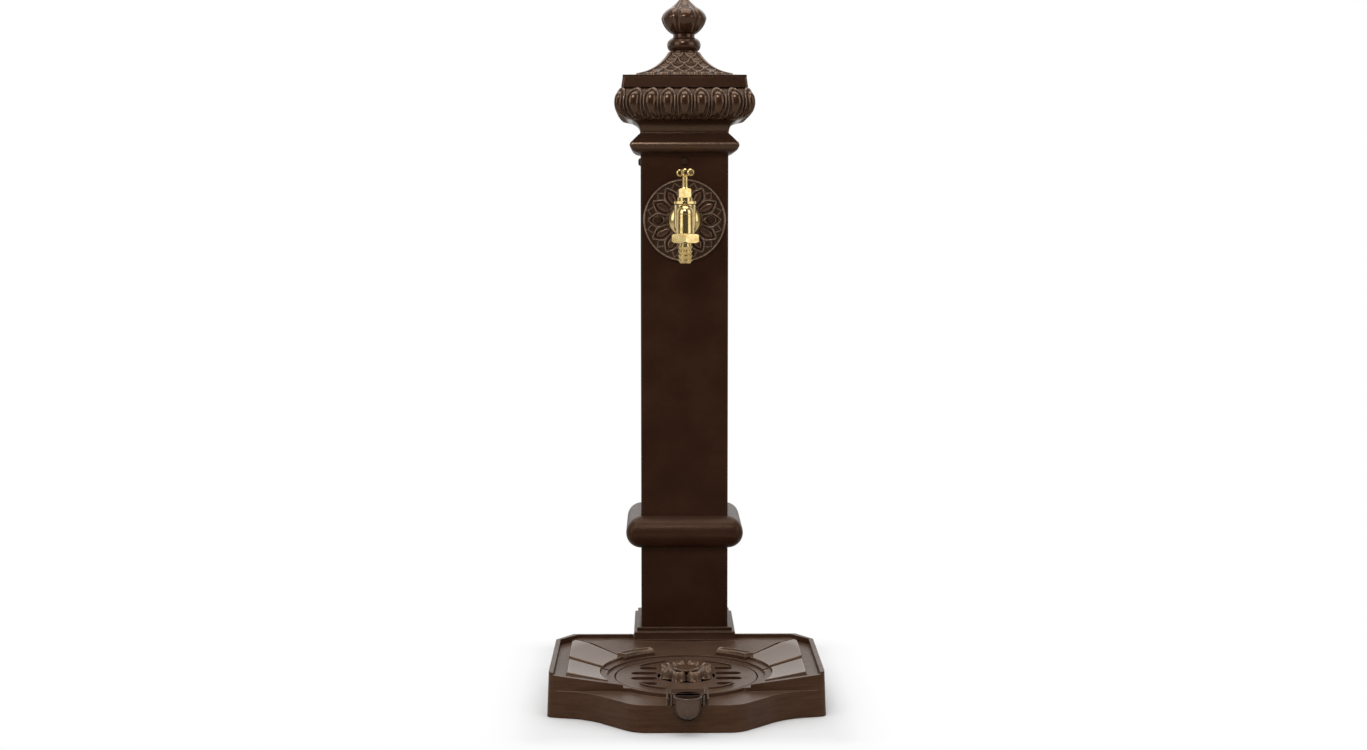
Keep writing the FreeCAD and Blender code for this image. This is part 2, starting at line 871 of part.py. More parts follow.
def base_casting():
    """The whole base with its relief, hollows, seats and holes."""
    lower = prism(
        "basin_lower",
        basin_sides(S.basin_half, S.basin_back, CORNER_REACH, bow_front(size(0))),
        GROUND,
        S.ledge_height,
        -S.basin_draft,
    )
    upper = prism(
        "basin_upper",
        upper_plan(S.basin_half, S.basin_back, CORNER_REACH, COLLAR_RADIUS),
        GROUND,
        S.basin_height,
        -S.basin_draft,
    )
    half = S.foot_half
    inner = half - S.wall
    pad = box("foot_pad", (-half, half), (-half, half), (GROUND, S.foot_level))
    foot_hollow = box("foot_hollow", (-inner, inner), (-S.basin_back, inner),
                      (BELOW_ALL, S.foot_level - S.foot_plate))
    clear = half + S.fit_gap
    rim_gap = box("rim_gap", (-clear, clear), (-clear, -(S.basin_back - 1)), (S.foot_level, ABOVE_ALL))
    blank = cut("base_relieved", fuse("base_blank", lower, upper), *tray_relief())
    body = cut("base_hollowed", fuse("base_padded", blank, pad), base_hollow(), foot_hollow)
    way_half = S.cheek_inner - S.mouth_inset
    overflow = box("overflow_gap", (-way_half, way_half),
                   (-(CHANNEL_BACK + 1), -(GRATE_REACH + SEAT_RADIUS - 1)), (S.channel_floor, ABOVE_ALL))
    tools = [
        rim_gap,
        rod("sump_bore", SEAT_RADIUS - S.seat_width, ABOVE_ALL, (0, GRATE_Y, S.sump_floor)),
        rod("grate_seat", SEAT_RADIUS, ABOVE_ALL, (0, GRATE_Y, GRATE_BOTTOM)),
        rod("waste_hole", S.waste_tube + S.fit_gap, ABOVE_ALL, (0, GRATE_Y, GROUND)),
        rod("riser_hole", S.riser_radius * 2, ABOVE_ALL, (0, AXIS_Y, S.foot_level - S.foot_plate * 2)),
        overflow,
    ]
    for index, (x, y) in enumerate(foot_bolt_places()):
        tools.append(rod(f"foot_bolt_hole{index}", S.foot_bolt_radius + S.bolt_gap, ABOVE_ALL,
                         (x, AXIS_Y + y, S.foot_level - S.foot_plate * 2)))
    return cut("base_casting", fuse("base_finned", body, *base_fins()), *tools, *cup_room())


def base_pieces():
    """The base as skirt, tray, sump and rear foot, which meet face to face."""
    whole = base_casting()
    half = S.foot_half
    foot_space = box("foot_space", (-half, half), (-(S.basin_back + S.wall), half), (BELOW_ALL, ABOVE_ALL))
    sump_space = rod("sump_space", COLLAR_RADIUS, GRATE_BOTTOM - BELOW_ALL, (0, GRATE_Y, BELOW_ALL))
    tray_space = cut(
        "tray_space",
        fuse(
            "tray_reach",
            tray_plan("tray_edge", CORNER_REACH - S.wall),
            rod("tray_nose", COLLAR_RADIUS, ABOVE_ALL, (0, GRATE_Y, GRATE_BOTTOM)),
        ),
        under_tray(),
        foot_space,
        sump_space,
    )
    return [
        cut("basin", whole, tray_space, foot_space, sump_space),
        common("tray", whole, tray_space),
        common("sump", whole, sump_space),
        common("rear_foot", whole, foot_space),
    ]


def foot_bolt_places():
    place = S.boss_place
    return [(place, place), (-place, place), (-place, -place), (place, -place)]


def overflow_cup():
    """Round-bottomed cup on a short hooded channel that carries the overflow."""
    radius = S.cup_radius
    bore = radius - S.cup_wall
    bead = radius + S.cup_bead
    centre = (0, AXIS_Y - S.bow_reach, 0)
    bowl = turned(
        "cup_bowl",
        [
            (0, S.cup_centre - radius),
            (radius, S.cup_centre, radius, 1),
            (radius, S.cup_rim - S.cup_lip),
            (bead, S.cup_rim - S.cup_lip + S.cup_bead),
            (bead, S.cup_rim - S.cup_bead),
            (radius, S.cup_rim),
            (bore, S.cup_rim),
            (bore, S.cup_centre),
            (0, S.cup_centre - bore, bore, -1),
        ],
        centre,
    )
    outer = S.cheek_inner + S.cheek_thickness
    inner = bore - S.neck_inset
    back = -(CHANNEL_BACK + S.fit_gap)
    low = S.channel_floor - S.channel_thickness
    walls = [
        box("channel_plate", (-outer, outer), (-(S.bow_reach - S.channel_depth), back),
            (low, S.channel_floor)),
    ]
    necks = []
    for side, word in ((1, "right"), (-1, "left")):
        across = (S.cheek_inner, outer) if side > 0 else (-outer, -S.cheek_inner)
        walls.append(box(f"cheek_{word}", across, (-S.bow_reach, back), (low, S.cheek_top)))
        across = (inner, bead) if side > 0 else (-bead, -inner)
        necks.append(box(f"neck_{word}", across, (-S.bow_reach, back), (S.channel_floor - 1, S.cup_rim)))
    ball = rod("cup_clear", radius, S.cheek_top, (0, AXIS_Y - S.bow_reach, GROUND))
    hood = box("channel_hood", (-outer, outer), (-(S.bow_reach - S.hood_start), back),
               (S.cheek_top, S.cup_rim))
    way = box("cup_way", (-inner, inner), (-S.bow_reach, back), (S.channel_floor, S.cheek_top))
    mouth = box("cup_mouth", (-inner, inner), (-S.bow_reach, -(S.bow_reach - S.hood_start)),
                (S.channel_floor, ABOVE_ALL))
    channel = cut("channel", fuse("channel_walls", *walls), ball)
    return cut("overflow_cup", fuse("cup_joined", bowl, channel, hood, *necks), way, mouth)


def waste_fitting():
    flange_top = S.sump_floor + S.waste_flange_thickness
    return turned(
        "waste_fitting",
        [
            (S.waste_bore, S.waste_end),
            (S.waste_tube, S.waste_end),
            (S.waste_tube, S.sump_floor),
            (S.waste_flange, S.sump_floor),
            (S.waste_flange - 1, flange_top),
            (S.waste_bore + 2, flange_top),
            (S.waste_bore, flange_top - 1.5),
        ],
        (0, GRATE_Y, 0),
    )


def waste_nut():
    low = WASTE_NUT_TOP - S.waste_nut_thickness
    nut = hexagon("waste_nut_blank", S.waste_nut_across, S.waste_nut_thickness, (0, GRATE_Y, low))
    bore = rod("waste_nut_bore", S.waste_tube + S.thread_gap, ABOVE_ALL, (0, GRATE_Y, GROUND))
    return cut("waste_nut", nut, bore)


def waste_washer():
    return ring(
        "waste_washer",
        S.waste_tube + S.fit_gap,
        S.waste_nut_across / 2,
        WASTE_NUT_TOP,
        WASTE_NUT_TOP + S.waste_washer_thickness,
        (0, GRATE_Y, 0),
    )


# Grate

def slot_outline(start, end, row):
    half = S.slot_width / 2
    return [
        (end - half, row - half - GRATE_REACH),
        (end - half, row + half - GRATE_REACH, half + HALF_ROUND, 1),
        (start + half, row + half - GRATE_REACH),
        (start + half, row - half - GRATE_REACH, half + HALF_ROUND, 1),
    ]


def grate():
    disc = turned(
        "grate_disc",
        [
            (0, GRATE_BOTTOM),
            (S.grate_radius, GRATE_BOTTOM),
            (S.grate_radius, S.grate_top - 1),
            (S.grate_radius - 1, S.grate_top),
            (0, S.grate_top),
        ],
        (0, GRATE_Y, 0),
    )
    slots = [rod("knob_hole", S.knob_stud + S.fit_gap, ABOVE_ALL, (0, GRATE_Y, GROUND))]
    for index, step in enumerate(SLOT_ROWS):
        row = S.slot_pitch * step
        end = root(S.slot_reach * S.slot_reach - row * row)
        corners = slot_outline(S.slot_start, end, row)
        slots.append(prism(f"slot_right{index}", corners, GROUND, ABOVE_ALL))
        slots.append(prism(f"slot_left{index}", flipped(corners), GROUND, ABOVE_ALL))
    return cut("grate", fuse("grate_full", disc, *crescents()), *slots)


def crescents():
    """Four raised crescents that follow the grate's rim."""
    solids = []
    top = S.grate_top + S.crescent_height
    for index, turn in enumerate((0, 180)):
        corners = [
            round_grate(S.crescent_radius, S.crescent_start_angle + turn) + (S.crescent_inner_round, -1),
            round_grate(S.crescent_radius, S.crescent_end_angle + turn) + (S.crescent_outer_round, 1),
        ]
        solids.append(prism(f"crescent_right{index}", corners, GRATE_BOTTOM, top))
        solids.append(prism(f"crescent_left{index}", flipped(corners), GRATE_BOTTOM, top))
    return solids


def grate_knob():
    base = S.grate_top
    stem = turned(
        "knob_turning",
        [
            (0, GRATE_BOTTOM - S.knob_nut_height - 1),
            (S.knob_stud, GRATE_BOTTOM - S.knob_nut_height - 1),
            (S.knob_stud, base),
            (S.knob_flange, base),
            (S.knob_flange - 1.2, base + S.knob_flange_height),
            (S.knob_neck + 4, base + S.knob_flange_height),
            (S.knob_neck, base + S.knob_neck_height),
            (S.knob_radius, S.knob_top - S.knob_dome - 3.6),
            (S.knob_radius, S.knob_top - S.knob_dome - 1.4),
            (S.knob_radius - 3, S.knob_top - S.knob_dome + 0.6),
            (0, S.knob_top),
        ],
        (0, GRATE_Y, 0),
    )
    return fuse("grate_knob", stem, *[knob_petal(index) for index in range(KNOB_PETALS)])


def knob_petal(index):
    """One pointed petal of the knob's foot."""
    half = S.knob_petal_half
    near = S.knob_neck + 2
    outline = [
        (near, -half * 0.5),
        (S.knob_flange, -half, S.petal_side_round, 1),
        (S.knob_petal_reach, 0, S.petal_tip_round, 1),
        (S.knob_flange, half, S.petal_tip_round, 1),
        (near, half * 0.5, S.petal_side_round, 1),
    ]
    sketch = doc.addObject("Sketcher::SketchObject", f"knob_petal{index}_outline")
    turn = (index + 0.5) * FULL_TURN / KNOB_PETALS
    put(sketch, (0, GRATE_Y, S.grate_top), Rotation(Vector(0, 0, 1), turn))
    draw(sketch, outline)
    solid = doc.addObject("Part::Extrusion", f"knob_petal{index}")
    solid.Base = sketch
    solid.DirMode = "Normal"
    solid.Solid = True
    bind(solid, "LengthFwd", S.knob_petal_height)
    return solid


def knob_nut():
    low = GRATE_BOTTOM - S.knob_nut_height
    nut = hexagon("knob_nut_blank", S.knob_nut_across, S.knob_nut_height, (0, GRATE_Y, low))
    return cut("knob_nut", nut, rod("knob_nut_bore", S.knob_stud + S.thread_gap, ABOVE_ALL,
                                    (0, GRATE_Y, GROUND)))


# Plinth

def plinth():
    low = S.foot_level
    top = low + S.plinth_height
    lower = moulding(
        "plinth_lower",
        [
            (S.foot_half, low),
            (S.foot_half, low + S.plinth_step - 1),
            (S.foot_half - 1, low + S.plinth_step),
        ],
        S.foot_half,
    )
    upper = moulding(
        "plinth_upper",
        [
            (S.plinth_half, low),
            (S.plinth_half, top - 0.8),
            (S.plinth_half - 0.8, top),
        ],
        S.foot_half,
    )
    socket = COLUMN_FOOT
    half = S.column_half + S.fit_gap
    pocket = box("plinth_socket", (-half, half), (-half, half), (socket, ABOVE_ALL + 40))
    spigot_half = COLUMN_INNER - S.fit_gap
    spigot = box("plinth_spigot", (-spigot_half, spigot_half), (-spigot_half, spigot_half),
                 (low + 1, socket + S.spigot_height))
    hole_half = spigot_half - S.spigot_wall
    hole = box("plinth_hole", (-hole_half, hole_half), (-hole_half, hole_half), (GROUND, ABOVE_ALL + 40))
    bosses = []
    bores = []
    for index, (x, y) in enumerate(foot_bolt_places()):
        bosses.append(rod(f"plinth_boss{index}", S.boss_radius, socket + S.boss_height - low,
                          (x, AXIS_Y + y, low)))
        bores.append(rod(f"plinth_bore{index}", S.foot_bolt_radius + S.thread_gap, ABOVE_ALL + 40,
                         (x, AXIS_Y + y, GROUND)))
    for index, x in enumerate((-S.base_screw_side, S.base_screw_side)):
        bores.append(rod(f"plinth_screw_hole{index}", S.screw_radius + S.thread_gap, 30,
                         (x, AXIS_Y + COLUMN_INNER - 15, S.base_screw_height), FACING_BACK))
    shell = cut("plinth_shell", fuse("plinth_steps", lower, upper), pocket)
    tube = cut("plinth_tube", fuse("plinth_solid", shell, spigot), hole)
    return cut("plinth", fuse("plinth_bossed", tube, *bosses), *bores)


def foot_bolts():
    bolts = []
    for index, (x, y) in enumerate(foot_bolt_places()):
        top = S.foot_level - S.foot_plate - S.bolt_washer
        head = hexagon(f"bolt_head{index}", S.foot_bolt_radius * 3.25, S.bolt_head,
                       (x, AXIS_Y + y, top - S.bolt_head))
        shank = rod(f"bolt_shank{index}", S.foot_bolt_radius, S.foot_bolt_length, (x, AXIS_Y + y, top - 1))
        bolts.append(fuse(f"bolt{index}", head, shank))
    return group("foot_bolts", *bolts)


def foot_washers():
    washers = []
    for index, (x, y) in enumerate(foot_bolt_places()):
        top = S.foot_level - S.foot_plate
        washers.append(ring(f"bolt_washer{index}", S.foot_bolt_radius + S.fit_gap, S.foot_bolt_radius * 2.1,
                            top - S.bolt_washer, top, (x, AXIS_Y + y, 0)))
    return group("foot_washers", *washers)


# Column

def column():
    half = S.column_half
    edge = S.column_edge
    inner = COLUMN_INNER
    outline = [
        (half - edge, -half),
        (half, -half + edge, edge, 1),
        (half, half - edge),
        (half - edge, half, edge, 1),
        (-half + edge, half),
        (-half, half - edge, edge, 1),
        (-half, -half + edge),
        (-half + edge, -half, edge, 1),
    ]
    tube = cut(
        "column_tube",
        prism("column_outer", outline, COLUMN_FOOT, S.column_top),
        box("column_inner", (-inner, inner), (-inner, inner), (GROUND, S.column_top + 10)),
    )
    holes = [
        rod("tap_hole", S.tail_radius + S.fit_gap, 30, (0, FACE_Y + 20, S.tap_height), FACING_FRONT),
        rod("clip_screw_hole", S.screw_radius + S.fit_gap, 20, (0, AXIS_Y + inner - 5, S.clip_height),
            FACING_BACK),
    ]
    for index, x in enumerate((-S.rosette_screw_place, S.rosette_screw_place)):
        holes.append(rod(f"rosette_hole{index}", S.screw_radius + S.thread_gap, 20,
                         (x, FACE_Y + 10, S.tap_height), FACING_FRONT))
    for index, x in enumerate((-S.base_screw_side, S.base_screw_side)):
        holes.append(rod(f"base_screw_hole{index}", S.screw_radius + S.fit_gap, 20,
                         (x, AXIS_Y + inner - 5, S.base_screw_height), FACING_BACK))
    for name, place, turn in cap_screw_places(inner - 5):
        holes.append(rod(f"column_hole_{name}", S.screw_radius + S.fit_gap, 20, place, turn))
    return cut("column", tube, *holes)


def cap_screw_places(out):
    """Where a cap screw stands on the front, back and left, at a distance out."""
    tall = S.cap_screw_height
    return [
        ("front", (0, AXIS_Y - out, tall), FACING_FRONT),
        ("back", (0, AXIS_Y + out, tall), FACING_BACK),
        ("left", (-out, AXIS_Y, tall), FACING_LEFT),
    ]


def screw(name, place, turn, length):
    """Pan-head screw whose head sits at the place and whose shank runs back."""
    radius = S.screw_radius
    head = S.screw_head_radius
    return turned(
        name,
        [
            (0, -length),
            (radius, -length),
            (radius, 0),
            (head, 0),
            (head, S.screw_head_height * 0.45),
            (head * 0.62, S.screw_head_height),
            (0, S.screw_head_height),
        ],
        place,
        turn,
    )


def cap_screws():
    screws = []
    for name, place, turn in cap_screw_places(S.column_half):
        screws.append(screw(f"cap_screw_{name}", place, turn, S.screw_length))
    return group("cap_screws", *screws)


def base_screws():
    screws = []
    for index, x in enumerate((-S.base_screw_side, S.base_screw_side)):
        place = (x, AXIS_Y + S.column_half, S.base_screw_height)
        screws.append(screw(f"base_screw{index}", place, FACING_BACK, S.screw_length))
    return group("base_screws", *screws)


def collar():
    low = S.collar_bottom
    high = low + S.collar_height
    half = S.column_half + S.fit_gap
    half_height = S.collar_height / 2
    squares = S.collar_reach * S.collar_reach + half_height * half_height
    radius = squares / (S.collar_reach * 2)
    solid = moulding(
        "collar_solid",
        [(half, low), (half, high, radius, 1)],
        half + S.collar_reach * 2,
    )
    hole = box("collar_hole", (-half, half), (-half, half), (low - 1, high + 1))
    bores = [collar_screw_rod(f"collar_bore{index}", x, S.thread_gap, 30)
             for index, x in collar_screw_sides()]
    return cut("collar", solid, hole, *bores)


def collar_screw_sides():
    return enumerate((-S.collar_screw_side, S.collar_screw_side))


def collar_screw_rod(name, x, gap, length):
    place = (x, AXIS_Y + S.column_half, S.collar_bottom + S.collar_height / 2)
    return rod(name, S.collar_screw_radius + gap, length, place, FACING_BACK)


def collar_screws():
    """Grub screws through the collar's back, tight on the column."""
    length = S.collar_reach - 2
    return group("collar_screws",
                 *[collar_screw_rod(f"grub_screw{index}", x, 0, length)
                   for index, x in collar_screw_sides()])


# Cap, roof and finial

def quarter(start, end):
    """Radius of the arc between two profile points that stands upright at the
    one that is further out."""
    out = end[0] - start[0]
    rise = end[1] - start[1]
    return (out * out + rise * rise) / (out * 2)


def ovolo(relief):
    """The cap's swelling, drawn in by the relief between its eggs."""
    low = (S.cove_half, S.cove_top)
    middle = (S.cap_reach - relief, S.cap_reach_height)
    high = (S.fascia_bottom_half - relief, S.ovolo_top)
    return [
        low,
        middle + (quarter(low, middle), 1),
        high + (quarter(high, middle), 1),
    ]


def cap_profile():
    """The cap's right-hand profile without its eggs."""
    low = S.column_top
    crest = low + S.torus_crest
    nose = S.column_half + S.torus_reach
    swelling = ovolo(S.egg_relief)
    return [
        (S.column_half, low),
        (nose, crest, S.torus_round, 1),
        (nose - S.torus_nose_in, crest + S.torus_nose),
        (S.neck_half, low + S.torus_height),
        (S.neck_half, low + S.torus_height + 1),
        swelling[0] + (S.cove_round, -1),
        swelling[1],
        swelling[2],
        (S.fascia_bottom_half, S.ovolo_top),
        (S.fascia_top_half, S.fascia_top),
    ]


def egg(centre):
    """Upright egg in elevation: round top, tapering to a narrow foot."""
    wide = S.egg_half
    foot = S.egg_foot_half
    high = S.ovolo_top - 0.6 - wide
    low = S.cove_top + 1
    return [
        (centre - foot, low),
        (centre + foot, low),
        (centre + wide, high),
        (centre - wide, high, wide + HALF_ROUND, 1),
    ]


def egg_row(name, yaw):
    """Seven eggs along a pair of opposite faces."""
    rows = []
    for index in range(-3, 4):
        rows.append(through(f"{name}_{index + 3}", egg(S.egg_pitch * index), S.fascia_bottom_half * 3, yaw))
    return rows


def cap():
    core = moulding("cap_core", cap_profile(), S.fascia_bottom_half * 2)
    shell = moulding("cap_egg_shell", ovolo(size(0)), S.fascia_bottom_half * 2)
    eggs = common("cap_eggs", shell, group("egg_runs", *egg_row("egg_front", 0), *egg_row("egg_side", 90)))
    spigot_half = COLUMN_INNER - S.fit_gap
    low = S.column_top
    spigot = box("cap_spigot_block", (-spigot_half, spigot_half), (-spigot_half, spigot_half),
                 (low - S.cap_spigot, low + 2))
    hollow_half = S.cap_hollow_half
    belly = S.cap_reach - S.egg_relief - S.cap_wall
    hollow = moulding(
        "cap_hollow",
        [
            (hollow_half, low - S.cap_spigot - 1),
            (hollow_half, low + S.torus_height + 2),
            (S.cove_half - S.cap_wall * 1.3, S.cove_top + 3),
            (belly, S.cap_reach_height - 3),
            (belly, S.cap_reach_height + 3),
            (S.fascia_top_half - S.cap_wall, S.ovolo_top),
            (S.fascia_top_half - S.cap_wall, PLATE_BOTTOM),
        ],
        S.cap_reach,
    )
    stud_hole = rod("cap_stud_hole", S.stud_radius + S.fit_gap, 20, (0, AXIS_Y, PLATE_BOTTOM - 5))
    bores = [rod(f"cap_bore_{name}", S.screw_radius + S.thread_gap, 15, place, turn)
             for name, place, turn in cap_screw_places(hollow_half - 3)]
    return cut("cap", fuse("cap_full", core, eggs, spigot), hollow, stud_hole, *bores)


def roof_profile(inset, low):
    """Concave roof profile, moved inward by the inset for its hollow."""
    return [
        (S.fascia_top_half - inset, low),
        (S.fascia_top_half - inset, S.fascia_top + S.eave - inset * 0.5),
        (S.roof_flat_half - inset, S.roof_flat_height - inset * 0.8),
        (S.roof_top_half - inset, S.roof_top - inset * 2.5, S.roof_round, -1),
    ]


def roof():
    outer = moulding("roof_outer", roof_profile(size(0), S.fascia_top), S.fascia_top_half)
    inner = moulding("roof_inner", roof_profile(S.roof_wall, S.fascia_top - 5), S.fascia_top_half)
    stud_hole = rod("roof_stud_hole", S.stud_radius + S.fit_gap, 80, (0, AXIS_Y, S.fascia_top - 5))
    return cut("roof", outer, inner, stud_hole)


def onion_outline(inset):
    """Right-hand outline of the finial's onion, from its start to its tip."""
    return [
        (S.onion_start_half - inset, ONION_START),
        (S.onion_half - inset, ONION_WIDEST, S.onion_round, 1),
        (S.onion_shoulder - inset, ONION_SHOULDER, S.onion_shoulder_round, 1),
        (S.onion_slope_half - inset * 0.5, ONION_SLOPE, S.onion_slope_round, -1),
        (S.finial_tip, ONION_SLOPE + S.finial_tip_rise),
    ]


def finial():
    ring_low = S.roof_top + S.finial_ring_low
    ring_high = ring_low + S.finial_neck_height
    body = turned(
        "finial_turning",
        [
            (0, S.roof_top),
            (S.finial_base, S.roof_top),
            (S.finial_throat, ring_low),
            (S.finial_neck, ring_high, S.finial_ring_round, 1),
        ] + onion_outline(size(0)) + [(0, FINIAL_TOP)],
        (0, AXIS_Y, 0),
    )
    stud_hole = rod("finial_stud_hole", S.stud_radius + S.thread_gap, S.stud_in_finial + 1,
                    (0, AXIS_Y, S.roof_top))
    return cut("finial", body, stud_hole, *[crease(index) for index in range(FINIAL_LOBES)])


def crease(index):
    """The narrow turned slice that parts two of the onion's lobes."""
    far = S.onion_half + 10
    corners = onion_outline(S.crease_depth) + [(far, FINIAL_TOP), (far, ONION_START)]
    body = doc.addObject("PartDesign::Body", f"crease{index}")
    sketch = body.newObject("Sketcher::SketchObject", f"crease{index}_profile")
    planes = [item for item in body.Origin.OriginFeatures if item.Role == "XZ_Plane"]
    sketch.AttachmentSupport = [(planes[0], "")]
    sketch.MapMode = "FlatFace"
    draw(sketch, corners)
    slice_ = body.newObject("PartDesign::Revolution", f"crease{index}_slice")
    slice_.Profile = sketch
    slice_.ReferenceAxis = (sketch, ["V_Axis"])
    slice_.Midplane = True
    bind(slice_, "Angle", S.crease_angle)
    sketch.Visibility = False
    turn = CREASE_TURN + index * FULL_TURN / FINIAL_LOBES
    return put(body, (0, AXIS_Y, 0), Rotation(Vector(0, 0, 1), turn))


def finial_stud():
    low = PLATE_BOTTOM - S.stud_below_plate
    return rod("finial_stud", S.stud_radius, S.roof_top + S.stud_in_finial - low, (0, AXIS_Y, low))


def stud_washer():
    top = PLATE_BOTTOM
    return ring("stud_washer", S.stud_radius + S.fit_gap, S.stud_washer_radius,
                top - S.stud_washer_height, top, (0, AXIS_Y, 0))


def stud_nut():
    top = PLATE_BOTTOM - S.stud_washer_height
    low = top - S.stud_nut_height
    blank = hexagon("stud_nut_blank", S.stud_nut_across, S.stud_nut_height, (0, AXIS_Y, low))
    bore = rod("stud_nut_bore", S.stud_radius + S.thread_gap, 60, (0, AXIS_Y, top - 30))
    return cut("stud_nut", blank, bore)


# Rosette

def front_place(out, tall=None):
    """A place out in front of the column's face."""
    return (0, FACE_Y - out, S.tap_height if tall is None else tall)


def rosette():
    radius = S.rosette_radius
    rim = S.rosette_rim_width
    hub = S.rosette_hub
    dish_ = turned(
        "rosette_dish",
        [
            (0, 0),
            (radius, 0),
            (radius, S.rosette_rim_height * 0.6),
            (radius - rim * 0.5, S.rosette_rim_height, rim * 0.6, 1),
            (radius - rim, S.rosette_plate, rim * 0.6, 1),
            (hub, S.rosette_plate),
            (hub - 1.5, S.rosette_hub_height),
            (0, S.rosette_hub_height),
        ],
        front_place(0),
        FACING_FRONT,
    )
    leaves = [petal(index) for index in range(PETALS)]
    hole = rod("rosette_hole", S.tail_radius + S.fit_gap, 40, front_place(-10), FACING_FRONT)
    holes = [hole]
    for index, x in enumerate((-S.rosette_screw_place, S.rosette_screw_place)):
        place = (x, FACE_Y + 10, S.tap_height)
        holes.append(rod(f"rosette_screw_hole{index}", S.screw_radius + S.fit_gap, 40, place, FACING_FRONT))
        seat = (x, FACE_Y - S.petal_height + 1.2, S.tap_height)
        holes.append(rod(f"rosette_screw_seat{index}", S.screw_head_radius + 0.6, 10, seat, FACING_FRONT))
    return cut("rosette", fuse("rosette_leafed", dish_, *leaves), *holes)


def petal(index):
    """One pointed leaf, turned to its spoke."""
    half = S.petal_half
    near = S.petal_start
    far = S.petal_reach
    middle = near + (far - near) * 0.6
    outline = [
        (near, -half * 0.4),
        (middle, -half, S.leaf_side_round, 1),
        (far, 0, S.leaf_tip_round, 1),
        (middle, half, S.leaf_tip_round, 1),
        (near, half * 0.4, S.leaf_side_round, 1),
    ]
    sketch = doc.addObject("Sketcher::SketchObject", f"petal{index}_outline")
    turn = FACING_FRONT.multiply(Rotation(Vector(0, 0, 1), index * FULL_TURN / PETALS))
    put(sketch, front_place(size(0.5)), turn)
    draw(sketch, outline)
    solid = doc.addObject("Part::Extrusion", f"petal{index}")
    solid.Base = sketch
    solid.DirMode = "Normal"
    solid.Solid = True
    bind(solid, "LengthFwd", S.petal_height - 0.5)
    return solid


def rosette_screws():
    screws = []
    for index, x in enumerate((-S.rosette_screw_place, S.rosette_screw_place)):
        place = (x, FACE_Y - S.petal_height + 1.2, S.tap_height)
        screws.append(screw(f"rosette_screw{index}", place, FACING_FRONT, S.screw_length))
    return group("rosette_screws", *screws)


# Tap

def tap_flange():
    inner = S.barrel_radius + S.fit_gap
    back = S.rosette_hub_height
    return turned(
        "tap_flange",
        [
            (inner, back),
            (S.flange_radius, back),
            (S.flange_radius, back + 1.6),
            (inner + 1.4, back + S.flange_thickness, S.flange_thickness * 2, 1),
            (inner, back + S.flange_thickness),
        ],
        front_place(0),
        FACING_FRONT,
    )


def tap_body():
    """Barrel, valve chamber and down-turned spout, with the water's way through."""
    head = S.tap_axis
    tail = rod("tap_tail", S.tail_radius, S.column_wall + S.tail_inside + S.rosette_hub_height,
               front_place(-(S.column_wall + S.tail_inside)), FACING_FRONT)
    barrel = rod("tap_barrel", S.barrel_radius, head - S.rosette_hub_height,
                 front_place(S.rosette_hub_height), FACING_FRONT)
    low = S.tap_height - S.chamber_low
    chamber = turned(
        "tap_chamber",
        [
            (0, low),
            (S.chamber_radius - S.chamber_turn_in, low),
            (S.chamber_radius, low + S.chamber_turn_up, S.chamber_turn_round, 1),
            (S.chamber_radius, CHAMBER_TOP),
            (0, CHAMBER_TOP),
        ],
        (0, HEAD_Y, 0),
    )
    rise = S.tap_height + S.spout_rise
    arm = rod("spout_arm", S.spout_radius - 0.8, S.spout_axis - head, front_place(head, rise), FACING_FRONT)
    knee = doc.addObject("Part::Sphere", "spout_knee")
    bind(knee, "Radius", S.spout_radius - 0.4)
    put(knee, (0, SPOUT_Y, rise))
    fall = turned(
        "spout_fall",
        [
            (0, SPOUT_END),
            (S.spout_thread_radius, SPOUT_END),
            (S.spout_thread_radius, SPOUT_END + S.spout_thread_length),
            (S.spout_radius, SPOUT_END + S.spout_thread_length + 1.5),
            (S.spout_radius - 0.5, rise),
            (0, rise),
        ],
        (0, SPOUT_Y, 0),
    )
    drop = S.tap_height - S.tail_bore_drop
    way_in = rod("way_in", S.tail_bore, 80, front_place(head + 4 - 80, drop), FACING_FRONT)
    way_up = rod("way_up", S.seat_bore, SEAT_HEIGHT - drop + 1, (0, HEAD_Y, drop))
    room = rod("valve_room", S.chamber_bore, 60, (0, HEAD_Y, SEAT_HEIGHT))
    way_out = rod("way_out", S.spout_bore, S.spout_axis - head, front_place(head, rise), FACING_FRONT)
    way_knee = doc.addObject("Part::Sphere", "way_knee")
    bind(way_knee, "Radius", S.spout_bore + S.fit_gap)
    put(way_knee, (0, SPOUT_Y, rise))
    way_down = rod("way_down", S.spout_bore, 60, (0, SPOUT_Y, rise - 60))
    solid = fuse("tap_solid", tail, barrel, chamber, arm, knee, fall)
    return bored("tap_body", solid, way_in, way_up, room, way_out, way_knee, way_down)


def union_nut():
    low = UNION_BOTTOM
    blank = hexagon("union_blank", S.union_across, S.union_height, (0, SPOUT_Y, low), CORNER_FRONT)
    thread = rod("union_thread", S.spout_thread_radius + S.running_gap, 30, (0, SPOUT_Y, UNION_WEB_TOP))
    hole = rod("union_hole", S.hose_radius + S.hose_barb + 0.4, 30, (0, SPOUT_Y, low - 5))
    bevel = turned(
        "union_bevel",
        [
            (0, low),
            (S.union_across * 0.5 + 0.4, low),
            (S.union_across * 0.5 + 2.4, low + 1.6),
            (S.union_across * 0.5 + 2.4, low + S.union_height - 1.2),
            (S.union_across * 0.5 + 0.6, low + S.union_height),
            (0, low + S.union_height),
        ],
        (0, SPOUT_Y, 0),
    )
    return cut("union_nut", common("union_hex", blank, bevel), thread, hole)


def union_washer():
    return ring("union_washer", S.hose_bore + 1, S.tail_flange_radius,
                SPOUT_END - S.union_washer, SPOUT_END, (0, SPOUT_Y, 0))


